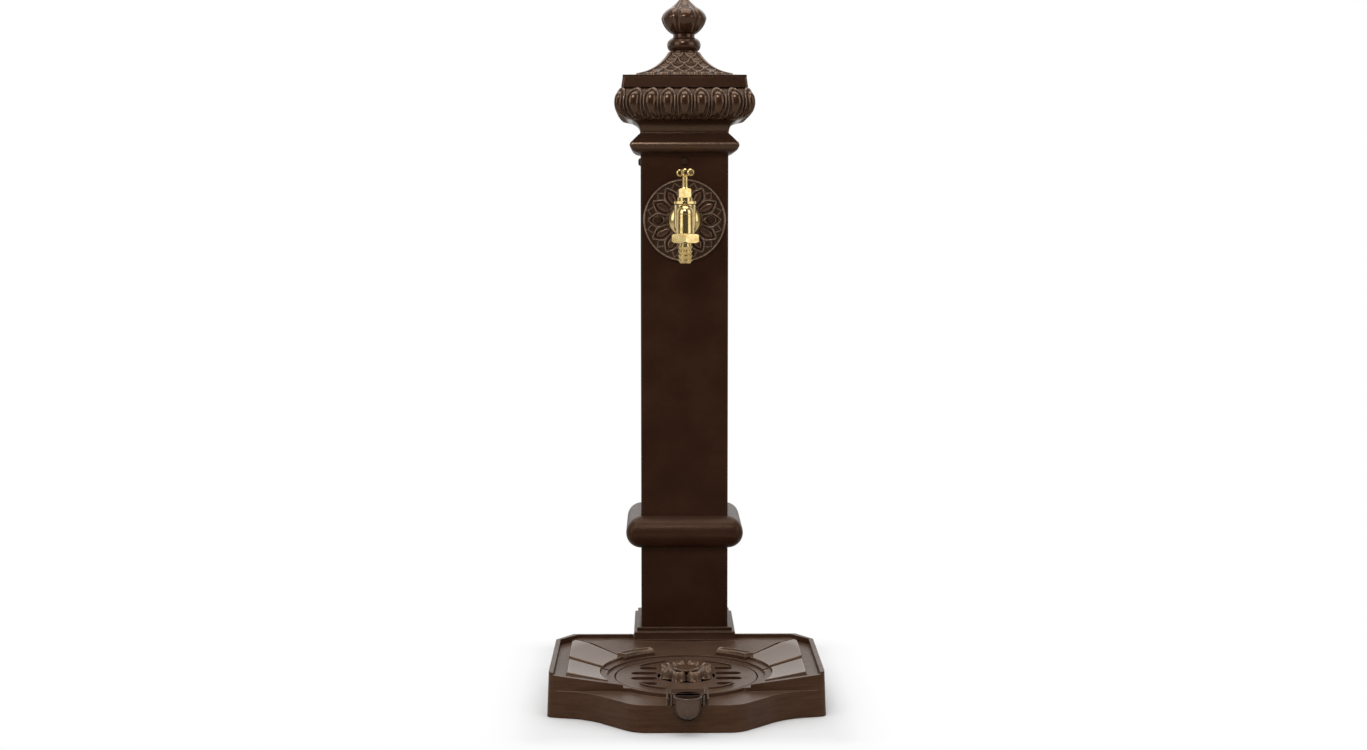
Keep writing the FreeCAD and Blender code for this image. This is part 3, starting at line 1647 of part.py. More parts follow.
def hose_tail():
    top = SPOUT_END - S.union_washer
    stem = S.hose_radius + S.hose_barb * 0.4
    corners = [
        (S.hose_bore, top - S.hose_length),
        (S.hose_radius - 0.9, top - S.hose_length),
    ]
    for index in range(4):
        low = top - S.hose_length + 1.6 + S.barb_pitch * index
        corners.append((S.hose_radius + S.hose_barb, low + 1.4))
        corners.append((S.hose_radius + S.hose_barb, low + 2.2))
        corners.append((S.hose_radius - 0.4, low + 2.4))
    corners += [
        (S.hose_radius - 0.4, UNION_BOTTOM - 0.6),
        (stem, UNION_BOTTOM - 0.4),
        (stem, top - S.tail_flange),
        (S.tail_flange_radius, top - S.tail_flange),
        (S.tail_flange_radius, top),
        (S.hose_bore, top),
    ]
    return turned("hose_tail", corners, (0, SPOUT_Y, 0))


def bonnet_washer():
    return ring("bonnet_washer", S.chamber_bore + 0.1, S.chamber_radius,
                CHAMBER_TOP, CHAMBER_TOP + S.bonnet_washer, (0, HEAD_Y, 0))


def bonnet():
    low = CHAMBER_TOP - S.bonnet_thread
    thread = S.chamber_bore - S.thread_gap
    bore = S.spindle_thread + S.running_gap
    narrow = S.spindle_stem + S.running_gap
    recess = NECK_TOP - S.packing_height - 1
    core = turned(
        "bonnet_core",
        [
            (bore, low),
            (thread, low),
            (thread, CHAMBER_TOP + S.bonnet_washer),
            (S.bonnet_step, CHAMBER_TOP + S.bonnet_washer),
            (S.bonnet_step, STEP_TOP),
            (S.bonnet_neck, STEP_TOP),
            (S.bonnet_neck, NECK_TOP),
            (S.packing_radius, NECK_TOP),
            (S.packing_radius, recess),
            (narrow, recess),
            (narrow, COLLAR_TOP + 0.6),
            (bore, COLLAR_TOP + 0.6),
        ],
        (0, HEAD_Y, 0),
    )
    plate = hexagon("bonnet_plate", S.bonnet_collar_across, S.bonnet_collar,
                    (0, HEAD_Y, CHAMBER_TOP + S.bonnet_washer), CORNER_FRONT)
    round_ = rod("bonnet_round", S.bonnet_collar_across * 0.5 + 0.6, S.bonnet_collar,
                 (0, HEAD_Y, CHAMBER_TOP + S.bonnet_washer))
    hole = rod("bonnet_plate_hole", bore, 30, (0, HEAD_Y, CHAMBER_TOP - 5))
    plate = cut("bonnet_collar_ring", common("bonnet_collar_hex", plate, round_), hole)
    return fuse("bonnet", core, plate)


def gland_packing():
    low = NECK_TOP - S.packing_height - 1
    return ring("gland_packing", S.spindle_stem + 0.02, S.packing_radius - 0.02, low,
                low + S.packing_height, (0, HEAD_Y, 0))


def gland_nut():
    low = STEP_TOP
    high = low + S.gland_height
    blank = hexagon("gland_blank", S.gland_across, S.gland_height, (0, HEAD_Y, low), CORNER_FRONT)
    taper = turned(
        "gland_taper",
        [
            (0, low),
            (S.gland_across * 0.6, low),
            (S.gland_across * 0.6, high - 2.5),
            (S.gland_across * 0.42, high),
            (0, high),
        ],
        (0, HEAD_Y, 0),
    )
    pusher = ring("gland_pusher", S.spindle_stem + S.running_gap, S.packing_radius - 0.1,
                  NECK_TOP - 0.9, NECK_TOP + 1, (0, HEAD_Y, 0))
    bored = turned(
        "gland_bore",
        [
            (0, low - 1),
            (S.bonnet_neck + S.thread_gap, low - 1),
            (S.bonnet_neck + S.thread_gap, NECK_TOP + 0.6),
            (S.spindle_stem + S.running_gap, NECK_TOP + 0.6),
            (S.spindle_stem + S.running_gap, high + 1),
            (0, high + 1),
        ],
        (0, HEAD_Y, 0),
    )
    return fuse("gland_nut", cut("gland_bored", common("gland_hex", blank, taper), bored), pusher)


def spindle():
    low = SEAT_HEIGHT + S.valve_washer_height + S.jumper_disc_height
    thread_top = low + S.spindle_thread_length
    bore = S.jumper_stem + S.running_gap
    hub_low = HANDLE_Z - S.hub_height / 2
    body = turned(
        "spindle_turning",
        [
            (0, low + S.jumper_stem_length + 0.4),
            (bore, low + S.jumper_stem_length + 0.4),
            (bore, low),
            (S.spindle_thread, low),
            (S.spindle_thread, thread_top),
            (S.spindle_stem, thread_top),
            (S.spindle_stem, hub_low),
            (S.hub_radius, hub_low + 1.4),
            (S.hub_radius, HANDLE_Z + S.hub_height / 2 - 1.6),
            (S.hub_radius - 1.8, HANDLE_Z + S.hub_height / 2),
            (0, HANDLE_Z + S.hub_height / 2),
        ],
        (0, HEAD_Y, 0),
    )
    across = Rotation(Vector(0, 0, 1), SIZES["handle_yaw"]).multiply(Rotation(Vector(0, 1, 0), 90))
    hole = rod("handle_hole", S.handle_bar_radius + S.thread_gap, 40, (0, HEAD_Y, HANDLE_Z), across)
    other = rod("handle_hole_back", S.handle_bar_radius + S.thread_gap, 40, (0, HEAD_Y, HANDLE_Z),
                across.multiply(Rotation(Vector(1, 0, 0), 180)))
    return cut("spindle", body, hole, other)


def handle_bar():
    """Tommy bar with a rounded button at each end, through the spindle's hub."""
    half = S.handle_bar_half
    end = S.handle_end_radius
    reach = half + S.handle_end_length
    across = Rotation(Vector(0, 0, 1), SIZES["handle_yaw"]).multiply(Rotation(Vector(0, 1, 0), 90))
    return turned(
        "handle_bar",
        [
            (0, -reach),
            (end - 1.2, -reach),
            (end, -reach + 1.2),
            (end, -half - 0.8),
            (S.handle_bar_radius, -half),
            (S.handle_bar_radius, half),
            (end, half + 0.8),
            (end, reach - 1.2),
            (end - 1.2, reach),
            (0, reach),
        ],
        (0, HEAD_Y, HANDLE_Z),
        across,
    )


def jumper():
    low = SEAT_HEIGHT + S.valve_washer_height
    return turned(
        "jumper",
        [
            (0, low),
            (S.jumper_disc, low),
            (S.jumper_disc, low + S.jumper_disc_height - 0.1),
            (S.jumper_stem, low + S.jumper_disc_height - 0.1),
            (S.jumper_stem, low + S.jumper_disc_height + S.jumper_stem_length),
            (0, low + S.jumper_disc_height + S.jumper_stem_length),
        ],
        (0, HEAD_Y, 0),
    )


def valve_washer():
    high = SEAT_HEIGHT + S.valve_washer_height
    radius = S.valve_washer_radius
    corners = [(0, SEAT_HEIGHT), (radius, SEAT_HEIGHT), (radius, high), (0, high)]
    return turned("valve_washer", corners, (0, HEAD_Y, 0))


# Supply inside the column

def back_washer():
    wall = S.column_wall
    return ring("back_washer", S.tail_radius + S.fit_gap, S.back_nut_across / 2,
                -(wall + S.back_washer_height), -wall, front_place(0), FACING_FRONT)


def back_nut():
    height = S.back_nut_height
    back = S.column_wall + S.back_washer_height + height
    blank = hexagon("back_nut_blank", S.back_nut_across, height, front_place(-back), FACING_FRONT)
    bore = rod("back_nut_bore", S.tail_radius + S.thread_gap, 60, front_place(-50), FACING_FRONT)
    return cut("back_nut", blank, bore)


def elbow():
    """Female elbow from the tap's tail down to the riser."""
    start = S.column_wall + S.back_washer_height + S.back_nut_height + 0.6
    reach = S.column_half
    level = rod("elbow_level", S.elbow_radius, reach - start, front_place(-reach), FACING_FRONT)
    corner = doc.addObject("Part::Sphere", "elbow_corner")
    bind(corner, "Radius", S.elbow_radius)
    put(corner, (0, AXIS_Y, S.tap_height))
    upright = rod("elbow_upright", S.elbow_radius, S.elbow_drop, (0, AXIS_Y, S.tap_height - S.elbow_drop))
    socket = rod("elbow_tail_socket", S.tail_radius + S.thread_gap, 40,
                 front_place(-(S.column_wall + S.tail_inside)), FACING_FRONT)
    level_way = rod("elbow_level_way", S.elbow_bore, reach, front_place(-reach), FACING_FRONT)
    corner_way = doc.addObject("Part::Sphere", "elbow_corner_way")
    bind(corner_way, "Radius", S.elbow_bore)
    put(corner_way, (0, AXIS_Y, S.tap_height))
    down_way = rod("elbow_down_way", S.elbow_bore, 60, (0, AXIS_Y, S.tap_height - 60))
    pipe_socket = rod("elbow_pipe_socket", S.riser_radius + S.thread_gap, S.elbow_socket + 10,
                      (0, AXIS_Y, S.tap_height - S.elbow_drop - 10))
    solid = fuse("elbow_solid", level, corner, upright)
    return cut("elbow", solid, socket, level_way, corner_way, down_way, pipe_socket)


def riser_pipe():
    top = S.tap_height - S.elbow_drop + S.elbow_socket - 0.3
    low = S.inlet_low + S.inlet_thread_depth + 1
    return ring("riser_pipe", S.riser_bore, S.riser_radius, low, top, (0, AXIS_Y, 0))


def inlet_coupling():
    low = S.inlet_low
    blank = hexagon("inlet_blank", S.inlet_across, S.inlet_height, (0, AXIS_Y, low))
    thread = rod("inlet_thread", S.inlet_thread_radius, 40, (0, AXIS_Y, low - 10))
    socket_low = low + S.inlet_thread_depth + 0.7
    socket = rod("inlet_socket", S.riser_radius + S.thread_gap, 40, (0, AXIS_Y, socket_low))
    return cut("inlet_coupling", blank, thread, socket)


def pipe_clip():
    """Bracket from the column's back wall, closed round the riser."""
    inner = S.riser_radius + S.fit_gap
    outer = inner + S.clip_wall
    half = S.clip_width / 2
    low = S.clip_height - half
    band = ring("clip_band", inner, outer, low, low + S.clip_width, (0, AXIS_Y, 0))
    wall = COLUMN_INNER - S.fit_gap
    web = box("clip_web", (-S.clip_wall / 2, S.clip_wall / 2), (inner + 1, wall), (low, low + S.clip_width))
    foot = box("clip_foot", (-12, 12), (wall - S.clip_wall * 1.5, wall), (low, low + S.clip_width))
    bore = rod("clip_bore", S.screw_radius + S.thread_gap, 12, (0, AXIS_Y + wall - 8, S.clip_height),
               FACING_BACK)
    return cut("pipe_clip", fuse("clip_solid", band, web, foot), bore)


def clip_screw():
    place = (0, AXIS_Y + S.column_half, S.clip_height)
    return screw("clip_screw", place, FACING_BACK, S.column_wall + S.fit_gap + 5)


def build():
    """Every piece of the fountain, by its node name."""
    return [
        *base_pieces(), overflow_cup(), waste_fitting(), waste_washer(), waste_nut(),
        grate(), grate_knob(), knob_nut(),
        plinth(), foot_bolts(), foot_washers(),
        column(), base_screws(), collar(), collar_screws(),
        cap(), cap_screws(), roof(), finial(), finial_stud(), stud_washer(), stud_nut(),
        rosette(), rosette_screws(),
        tap_flange(), tap_body(), union_nut(), union_washer(), hose_tail(),
        bonnet_washer(), bonnet(), gland_packing(), gland_nut(), spindle(), handle_bar(),
        jumper(), valve_washer(),
        back_washer(), back_nut(), elbow(), riser_pipe(), inlet_coupling(), pipe_clip(), clip_screw(),
    ]


def check(pieces):
    """Stop before anything is written if a feature or a shape is bad."""
    bad = [thing.Label for thing in doc.Objects if "Invalid" in thing.State or "Error" in thing.State]
    for piece in pieces:
        shape = piece.Shape
        if shape.isNull() or not shape.isValid() or not shape.Solids:
            bad.append(piece.Label)
    if bad:
        raise RuntimeError("these did not build: " + ", ".join(bad))


def export(pieces):
    os.makedirs("parts", exist_ok=True)
    for piece in pieces:
        piece.Shape.exportStep(f"parts/{piece.Label}.step")
        print(piece.Label, len(piece.Shape.Solids), "solids", round(piece.Shape.Volume), "mm3")


write_sheet()
pieces = build()
doc.recompute()
check(pieces)
export(pieces)
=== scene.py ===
import json
import math

import bpy
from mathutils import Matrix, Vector


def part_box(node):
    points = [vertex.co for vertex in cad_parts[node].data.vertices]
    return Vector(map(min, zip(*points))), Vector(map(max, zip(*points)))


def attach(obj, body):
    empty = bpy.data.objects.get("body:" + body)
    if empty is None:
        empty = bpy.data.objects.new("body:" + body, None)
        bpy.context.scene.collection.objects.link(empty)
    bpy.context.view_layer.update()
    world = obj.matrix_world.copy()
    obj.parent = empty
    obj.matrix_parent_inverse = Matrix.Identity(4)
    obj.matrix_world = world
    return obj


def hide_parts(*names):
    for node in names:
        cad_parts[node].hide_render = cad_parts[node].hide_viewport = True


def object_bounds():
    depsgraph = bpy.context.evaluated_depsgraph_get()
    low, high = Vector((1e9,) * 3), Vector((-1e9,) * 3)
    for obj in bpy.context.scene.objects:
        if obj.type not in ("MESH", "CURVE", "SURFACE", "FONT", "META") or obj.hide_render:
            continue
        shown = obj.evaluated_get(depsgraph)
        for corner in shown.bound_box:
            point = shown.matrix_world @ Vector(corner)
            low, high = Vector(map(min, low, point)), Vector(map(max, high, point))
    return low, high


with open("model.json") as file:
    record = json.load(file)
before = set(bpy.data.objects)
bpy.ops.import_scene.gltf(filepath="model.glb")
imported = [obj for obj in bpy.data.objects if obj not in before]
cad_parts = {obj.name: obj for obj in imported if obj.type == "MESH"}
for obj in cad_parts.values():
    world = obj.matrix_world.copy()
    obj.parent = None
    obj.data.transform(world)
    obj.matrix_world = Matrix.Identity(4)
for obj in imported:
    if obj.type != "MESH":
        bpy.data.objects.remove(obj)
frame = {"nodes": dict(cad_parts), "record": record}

# Looks of the cast garden fountain: paint, brass, and the carved castings as
# full meshes. Lengths are in millimetres until a mesh is made.

CAD_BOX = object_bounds()
MM = 0.001
nodes = frame["nodes"]


def span(node, axis):
    """Lowest and highest coordinate of a CAD node along an axis, in mm."""
    low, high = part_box(node)
    return low["xyz".index(axis)] / MM, high["xyz".index(axis)] / MM


def middle(node, axis):
    """Middle of a CAD node along an axis, in mm."""
    return sum(span(node, axis)) / 2


AXIS_Y = middle("column", "y")
COLUMN_HALF = span("column", "x")[1]
COLUMN_TOP = span("column", "z")[1]
FACE_Y = span("column", "y")[0]
CAP_REACH = span("cap", "x")[1]
CAP_TOP = span("cap", "z")[1]
ROOF_HALF = span("roof", "x")[1]
ROOF_TOP = span("roof", "z")[1]
FINIAL_TOP = span("finial", "z")[1]
TAP_HEIGHT = middle("rosette", "z")
ROSETTE_RADIUS = span("rosette", "x")[1]
GRATE_Y = middle("grate", "y")
KNOB_TOP = span("grate_knob", "z")[1]
CUP_FRONT = span("overflow_cup", "y")[0]


class Wire:
    """A shader socket that can be used in sums."""

    def __init__(self, finish, socket):
        self.finish = finish
        self.socket = socket

    def maths(self, operation, *others):
        values = {index + 1: other for index, other in enumerate(others)}
        values[0] = self
        return self.finish.node("ShaderNodeMath", {"operation": operation}, values)

    def __add__(self, other):
        return self.maths("ADD", other)

    __radd__ = __add__

    def __mul__(self, other):
        return self.maths("MULTIPLY", other)

    __rmul__ = __mul__

    def __sub__(self, other):
        return self.maths("SUBTRACT", other)

    def __rsub__(self, other):
        return self * -1 + other

    def __pow__(self, other):
        return self.maths("POWER", other)

    def held(self):
        """The same value kept between 0 and 1."""
        return self.finish.node(
            "ShaderNodeClamp", {}, {"Value": self, "Min": 0.0, "Max": 1.0})


class Finish:
    """A procedural material, or the world, under construction."""

    def __init__(self, owner):
        self.owner = owner
        owner.use_nodes = True
        self.tree = owner.node_tree
        self.tree.nodes.clear()

    def node(self, kind, settings=None, values=None, out=0):
        """Add a node: its settings first, then the values or links of its sockets."""
        made = self.tree.nodes.new(kind)
        for name, value in (settings or {}).items():
            if name == "stops":
                self.set_stops(made.color_ramp, value)
            else:
                setattr(made, name, value)
        for name, value in (values or {}).items():
            if isinstance(value, Wire):
                self.tree.links.new(value.socket, made.inputs[name])
            else:
                made.inputs[name].default_value = value
        return Wire(self, made.outputs[out]) if made.outputs else made

    def set_stops(self, ramp, places):
        while len(ramp.elements) < len(places):
            ramp.elements.new(0.5)
        for element, (position, shade) in zip(ramp.elements, places):
            element.position = position
            element.color = (shade, shade, shade, 1.0)

    def place(self):
        """Position on the object, in metres."""
        return self.node("ShaderNodeTexCoord", out=3)

    def noise(self, size, detail=3.0, roughness=0.5, stretch=(1, 1, 1)):
        """Noise from 0 to 1 whose grain is about a size in millimetres."""
        place = self.node("ShaderNodeMapping", {}, {"Vector": self.place(), "Scale": stretch})
        return self.node("ShaderNodeTexNoise", {}, {
            "Vector": place, "Scale": 1 / (size * MM), "Detail": detail, "Roughness": roughness})

    def ramp(self, value, stops):
        return self.node("ShaderNodeValToRGB", {"stops": stops}, {"Fac": value})

    def blend(self, factor, first, second):
        """Mix two colours."""
        values = {0: factor, 6: first, 7: second}
        return self.node("ShaderNodeMix", {"data_type": "RGBA"}, values, out=2)

    def softened(self, radius):
        """Normal with edges rounded as a casting's are."""
        return self.node("ShaderNodeBevel", {"samples": 6}, {"Radius": radius * MM})

    def edges(self, normal):
        """1 on an outer or inner edge, 0 on a flat; from a softened normal."""
        values = {0: normal, 1: self.node("ShaderNodeNewGeometry", out=1)}
        same = self.node("ShaderNodeVectorMath", {"operation": "DOT_PRODUCT"}, values, out=1)
        return ((1.0 - same) * 4.0).held()

    def carving(self):
        """Value stored by a carved mesh: 1 on its crests, for a painted highlight, and -1 in its
        hollows, for painted shade.
        """
        return self.node("ShaderNodeAttribute", {"attribute_name": "carving"}, out=2)

    def axis(self, vector, index):
        return self.node("ShaderNodeSeparateXYZ", {}, {0: vector}, out=index)

    def bump(self, height, depth, normal=None):
        values = {"Height": height, "Distance": depth * MM, "Strength": 1.0}
        if normal is not None:
            values["Normal"] = normal
        return self.node("ShaderNodeBump", {}, values)

    def surface(self, **sockets):
        """Finish with a Principled shader; keys are its sockets, _ for a space."""
        values = {name.replace("_", " "): value for name, value in sockets.items()}
        shader = self.node("ShaderNodeBsdfPrincipled", {}, values)
        self.node("ShaderNodeOutputMaterial", {}, {"Surface": shader})
        return self.owner


def new_finish(name):
    return Finish(bpy.data.materials.new(name))


# Linear colours
BROWN_DARK = (0.0270, 0.0098, 0.0052)
BROWN = (0.0400, 0.0160, 0.0086)
BROWN_WORN_AND_HIGHLIGHT = (0.310, 0.222, 0.160)
BROWN_HOLLOW_SHADE = (0.0060, 0.0024, 0.0012)
BROWN_FLOOR_LIT = (0.078, 0.038, 0.022)
BROWN_DUST_AND_TOP_LIGHT = (0.130, 0.082, 0.055)
BROWN_POLISHED = (0.170, 0.108, 0.074)
BROWN_SHEEN = (1.0, 0.66, 0.44)
BLACK_INSIDE_SHADE = (0.0015, 0.0010, 0.0008)
WHITE = (1.0, 1.0, 1.0)
BRASS_PALE = (0.84, 0.65, 0.31)
BRASS_DEEP = (0.56, 0.38, 0.12)
BRASS_PLAIN = (0.62, 0.47, 0.22)
ZINC_GREY = (0.62, 0.62, 0.60)
PIPE_GREY = (0.50, 0.51, 0.52)
SCREW_BROWN = (0.090, 0.050, 0.032)
RUBBER_DARK = (0.012, 0.012, 0.012)
RUBBER_PALE = (0.03, 0.03, 0.03)
PLASTIC_DARK = (0.018, 0.018, 0.019)
PLASTIC_PALE = (0.03, 0.03, 0.032)
FLOOR_GREY = (0.55, 0.54, 0.52)
FLOOR_PALE = (0.86, 0.86, 0.86)

# Heights between which the painted light from the floor on the base ends
FLOOR_LIGHT_LOW = 48.0
FLOOR_LIGHT_HIGH = 52.0


def opaque(colour):
    return colour + (1.0,)


def painted(finish, normal, fine, specks):
    """Brown paint: lighter near the ground and on top as painted light, with dust specks, and lighter
    on edges and crests from wear and a painted highlight.
    """
    cloud = finish.ramp(finish.noise(38.0, 4.0), [(0.3, 0.0), (0.7, 1.0)])
    paint = finish.blend(cloud, opaque(BROWN_DARK), opaque(BROWN))
    height = finish.axis(finish.place(), 2)
    # Painted light from the white floor: the paint turns lighter, in streaks, near the ground
    low = finish.ramp(height, [(0.0, 1.0), (FLOOR_LIGHT_LOW * MM, 0.9), (FLOOR_LIGHT_HIGH * MM, 0.0)])
    streak = finish.noise(16.0, 4.0, 0.6, (0.5, 0.5, 5))
    floor_lit_paint = finish.blend((low * (streak * 1.7 - 0.1)).held(), paint, opaque(BROWN_FLOOR_LIT))
    # Painted top light: faces that look up are lighter, more so near the ground; the specks added to
    # it are dust
    up = finish.axis(finish.node("ShaderNodeNewGeometry", out=1), 2).held()
    top_light = (up ** 2 * (low * 0.35 + 0.22) * (streak + 0.4)).held()
    top_lit_and_dusty = finish.blend((top_light + specks * 0.3).held(), floor_lit_paint, opaque(BROWN_DUST_AND_TOP_LIGHT))
    # Edges and carved crests turn lighter: wear, and a painted highlight
    worn_and_highlight = (finish.edges(normal) * fine * 1.2 + finish.carving() * (fine * 1.5 - 0.12)).held()
    return finish.blend(worn_and_highlight, top_lit_and_dusty, opaque(BROWN_WORN_AND_HIGHLIGHT))


def cast_paint(name, grain, rough, soft, shine):
    """Satin paint over cast metal, with pits, dust specks and edges lightened by wear and a painted
    highlight.

    grain is the depth of its bumps and soft the radius of its edges, both in mm.
    """
    finish = new_finish(name)
    normal = finish.softened(soft)
    fine = finish.noise(1.3, 5.0, 0.62)
    pits = finish.ramp(finish.noise(3.1, 2.0), [(0.30, 1.0), (0.40, 0.0)])
    specks = finish.ramp(finish.noise(2.3, 1.0), [(0.74, 0.0), (0.80, 1.0)])
    height = fine * 0.6 + finish.noise(7.0, 3.0) * 0.8 - pits * 0.5 + specks * 0.4
    return finish.surface(
        Base_Color=painted(finish, normal, fine, specks),
        Roughness=(finish.noise(9.0, 3.0) * 0.16 + rough).held(),
        Normal=finish.bump(height, grain, normal),
        Specular_IOR_Level=shine,
        Specular_Tint=opaque(BROWN_SHEEN),
    )


def carved_paint(name):
    """The same paint over carved castings: crests lighter from wear and a painted highlight, and dull
    hollows darkened as painted shade.
    """
    finish = new_finish(name)
    normal = finish.softened(0.25)
    fine = finish.noise(3.2, 4.0, 0.55)
    specks = finish.ramp(finish.noise(2.3, 1.0), [(0.76, 0.0), (0.82, 1.0)])
    # Painted shade: the carving's hollows are darkened
    hollow_shade = (finish.carving() * -1).held()
    paint = painted(finish, normal, fine, specks)
    return finish.surface(
        Base_Color=finish.blend((hollow_shade * 0.9).held(), paint, opaque(BROWN_HOLLOW_SHADE)),
        Roughness=(fine * 0.10 + hollow_shade * 0.35 + 0.14).held(),
        Normal=finish.bump(fine, 0.02, normal),
        Specular_IOR_Level=0.8,
        Specular_Tint=opaque(BROWN_SHEEN),
    )


# Painted shade inside the cup: its middle behind the cup's front, its radius, and the width over which
# it ends
INSIDE_SHADE_BACK = 17.8
INSIDE_SHADE_RADIUS = 13.1
INSIDE_SHADE_FADE = 0.5


def cup_paint(name):
    """Paint polished by use, and near-black painted shade inside the cup and its channel."""
    finish = new_finish(name)
    normal = finish.softened(0.8)
    fine = finish.noise(1.3, 5.0, 0.62)
    place = finish.place()
    side = finish.axis(place, 0)
    ahead = finish.axis(place, 1) - (CUP_FRONT + INSIDE_SHADE_BACK) * MM
    away = (side * side + ahead * ahead) ** 0.5
    # Painted shade: near black, and less metallic, within the radius
    inside_shade = (1.0 - (away - INSIDE_SHADE_RADIUS * MM) * (1 / (INSIDE_SHADE_FADE * MM))).held()
    rubbed = finish.blend(fine, opaque(BROWN), opaque(BROWN_POLISHED))
    return finish.surface(
        Base_Color=finish.blend(inside_shade, rubbed, opaque(BLACK_INSIDE_SHADE)),
        Metallic=(0.30 - inside_shade).held(),
        Roughness=(fine * 0.08 + 0.14).held(),
        Normal=finish.bump(fine, 0.05, normal),
    )


def brass(name, rough, pale=BRASS_PALE):
    """Polished brass with fine turning marks and a faint tarnish."""
    finish = new_finish(name)
    normal = finish.softened(0.35)
    marks = finish.noise(0.5, 3.0, 0.6, (1, 1, 9))
    tarnish = finish.ramp(finish.noise(6.0, 4.0), [(0.35, 0.0), (0.75, 1.0)])
    return finish.surface(
        Base_Color=finish.blend(tarnish, opaque(pale), opaque(BRASS_DEEP)),
        Metallic=1.0,
        Roughness=(marks * 0.08 + tarnish * 0.08 + rough).held(),
        Normal=finish.bump(marks, 0.006, normal),
    )


def plated_steel(name, colour, rough):
    finish = new_finish(name)
    normal = finish.softened(0.3)
    grain = finish.noise(1.6, 4.0, 0.6)
    dark = tuple(part * 0.55 for part in colour)
    return finish.surface(
        Base_Color=finish.blend(grain, opaque(dark), opaque(colour)),
        Metallic=1.0,
        Roughness=(grain * 0.2 + rough).held(),
        Normal=finish.bump(grain, 0.05, normal),
    )


def rubber(name):
    finish = new_finish(name)
    grain = finish.noise(0.8, 3.0)
    return finish.surface(
        Base_Color=finish.blend(grain, opaque(RUBBER_DARK), opaque(RUBBER_PALE)),
        Roughness=(grain * 0.2 + 0.6).held(),
        Normal=finish.bump(grain, 0.05),
    )


def moulded_plastic(name):
    finish = new_finish(name)
    grain = finish.noise(1.1, 2.0)
    return finish.surface(
        Base_Color=finish.blend(grain, opaque(PLASTIC_DARK), opaque(PLASTIC_PALE)),
        Roughness=(grain * 0.15 + 0.42).held(),
        Normal=finish.bump(grain, 0.04, finish.softened(0.4)),
    )


CAST = cast_paint("cast_paint", grain=0.16, rough=0.27, soft=0.9, shine=0.34)
CARVED = carved_paint("carved_cast_paint")
TUBE = cast_paint("tube_paint", grain=0.05, rough=0.30, soft=1.6, shine=0.16)
CUP = cup_paint("cup_paint")
BRASS = brass("polished_brass", rough=0.10)
PLAIN_BRASS = brass("plain_brass", rough=0.34, pale=BRASS_PLAIN)
ZINC = plated_steel("zinc_plate", ZINC_GREY, rough=0.32)
DARK_STEEL = plated_steel("dark_screw", SCREW_BROWN, rough=0.36)
PIPE = plated_steel("galvanised_pipe", PIPE_GREY, rough=0.42)
SEAL = rubber("seal_rubber")
PLASTIC = moulded_plastic("waste_plastic")

SLOT_FINISH = {
    "cast_paint": CAST,
    "column_paint": TUBE,
    "polished_brass": BRASS,
    "zinc": ZINC,
    "dark_screw": DARK_STEEL,
    "seal": SEAL,
    "pipe": PIPE,
    "fitting_brass": PLAIN_BRASS,
    "waste_plastic": PLASTIC,
}


def dress_cad():
    """Give every CAD node its finish."""
    for part in frame["record"]["subparts"]:
        mesh = nodes[part["node"]].data
        mesh.materials.clear()
        slot_finish = SLOT_FINISH[part["material_slot"]]
        mesh.materials.append(CUP if part["node"] == "overflow_cup" else slot_finish)


# Mesh helpers

def solid(name, rows, finish, ends=(True, True), sharp=60):
    """A mesh through closed rows of points in mm; a point's fourth value is its carving."""
    count = len(rows[0])
    points = [tuple(value * MM for value in point[:3]) for row in rows for point in row]
    carving = [point[3] if len(point) > 3 else 0.0 for row in rows for point in row]
    faces = []
    for base in range(0, (len(rows) - 1) * count, count):
        for index in range(count):
            after = (index + 1) % count
            faces.append((base + index, base + after, base + count + after, base + count + index))
    if ends[0]:
        faces.append(tuple(range(count - 1, -1, -1)))
    if ends[1]:
        last = (len(rows) - 1) * count
        faces.append(tuple(range(last, last + count)))
    mesh = bpy.data.meshes.new(name)
    mesh.from_pydata(points, [], faces)
    mesh.attributes.new("carving", "FLOAT", "POINT").data.foreach_set("value", carving)
    mesh.polygons.foreach_set("use_smooth", [True] * len(mesh.polygons))
    mesh.set_sharp_from_angle(angle=math.radians(sharp))
    mesh.materials.append(finish)
    piece = bpy.data.objects.new(name, mesh)
    bpy.context.scene.collection.objects.link(piece)
    return piece


def finish_piece(piece, body, slot, *replaced):
    """Ride a body, and replace CAD nodes if any are named; slot is not used."""
    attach(piece, body)
    if replaced:
        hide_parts(*replaced)


def arc(start, end, radius, side, step):
    """Points after start up to end on the short arc, centre on the left for side 1."""
    chord = Vector(end) - Vector(start)
    half = chord.length / 2
    lift = math.sqrt(max(radius * radius - half * half, 0.0))
    left = Vector((-chord.y, chord.x)).normalized()
    centre = (Vector(start) + Vector(end)) / 2 + left * lift * side
    spread = 2 * math.asin(min(half / radius, 1.0))
    count = max(2, round(spread * radius / step))
    first = Vector(start) - centre
    points = []
    for index in range(1, count + 1):
        angle = side * spread * index / count
        turned = Vector((first.x * math.cos(angle) - first.y * math.sin(angle),
                         first.x * math.sin(angle) + first.y * math.cos(angle)))
        points.append(tuple(centre + turned))
    return points


def profile(corners, step):
    """Sample a profile of lines and arcs evenly, from bottom to top.

    A corner is a radius and a height, then for an arc its radius and side.
    """
    points = [tuple(corners[0][:2])]
    for corner in corners[1:]:
        start = points[-1]
        if len(corner) > 2:
            points += arc(start, corner[:2], corner[2], corner[3], step)
            continue
        count = max(1, round((Vector(corner) - Vector(start)).length / step))
        for index in range(1, count + 1):
            points.append(tuple(Vector(start).lerp(Vector(corner), index / count)))
    return points


def slopes(points):
    """Outward normal at each profile point."""
    normals = []
    for index in range(len(points)):
        before = Vector(points[max(index - 1, 0)])
        after = Vector(points[min(index + 1, len(points) - 1)])
        along = (after - before).normalized()
        normals.append((along.y, -along.x))
    return normals


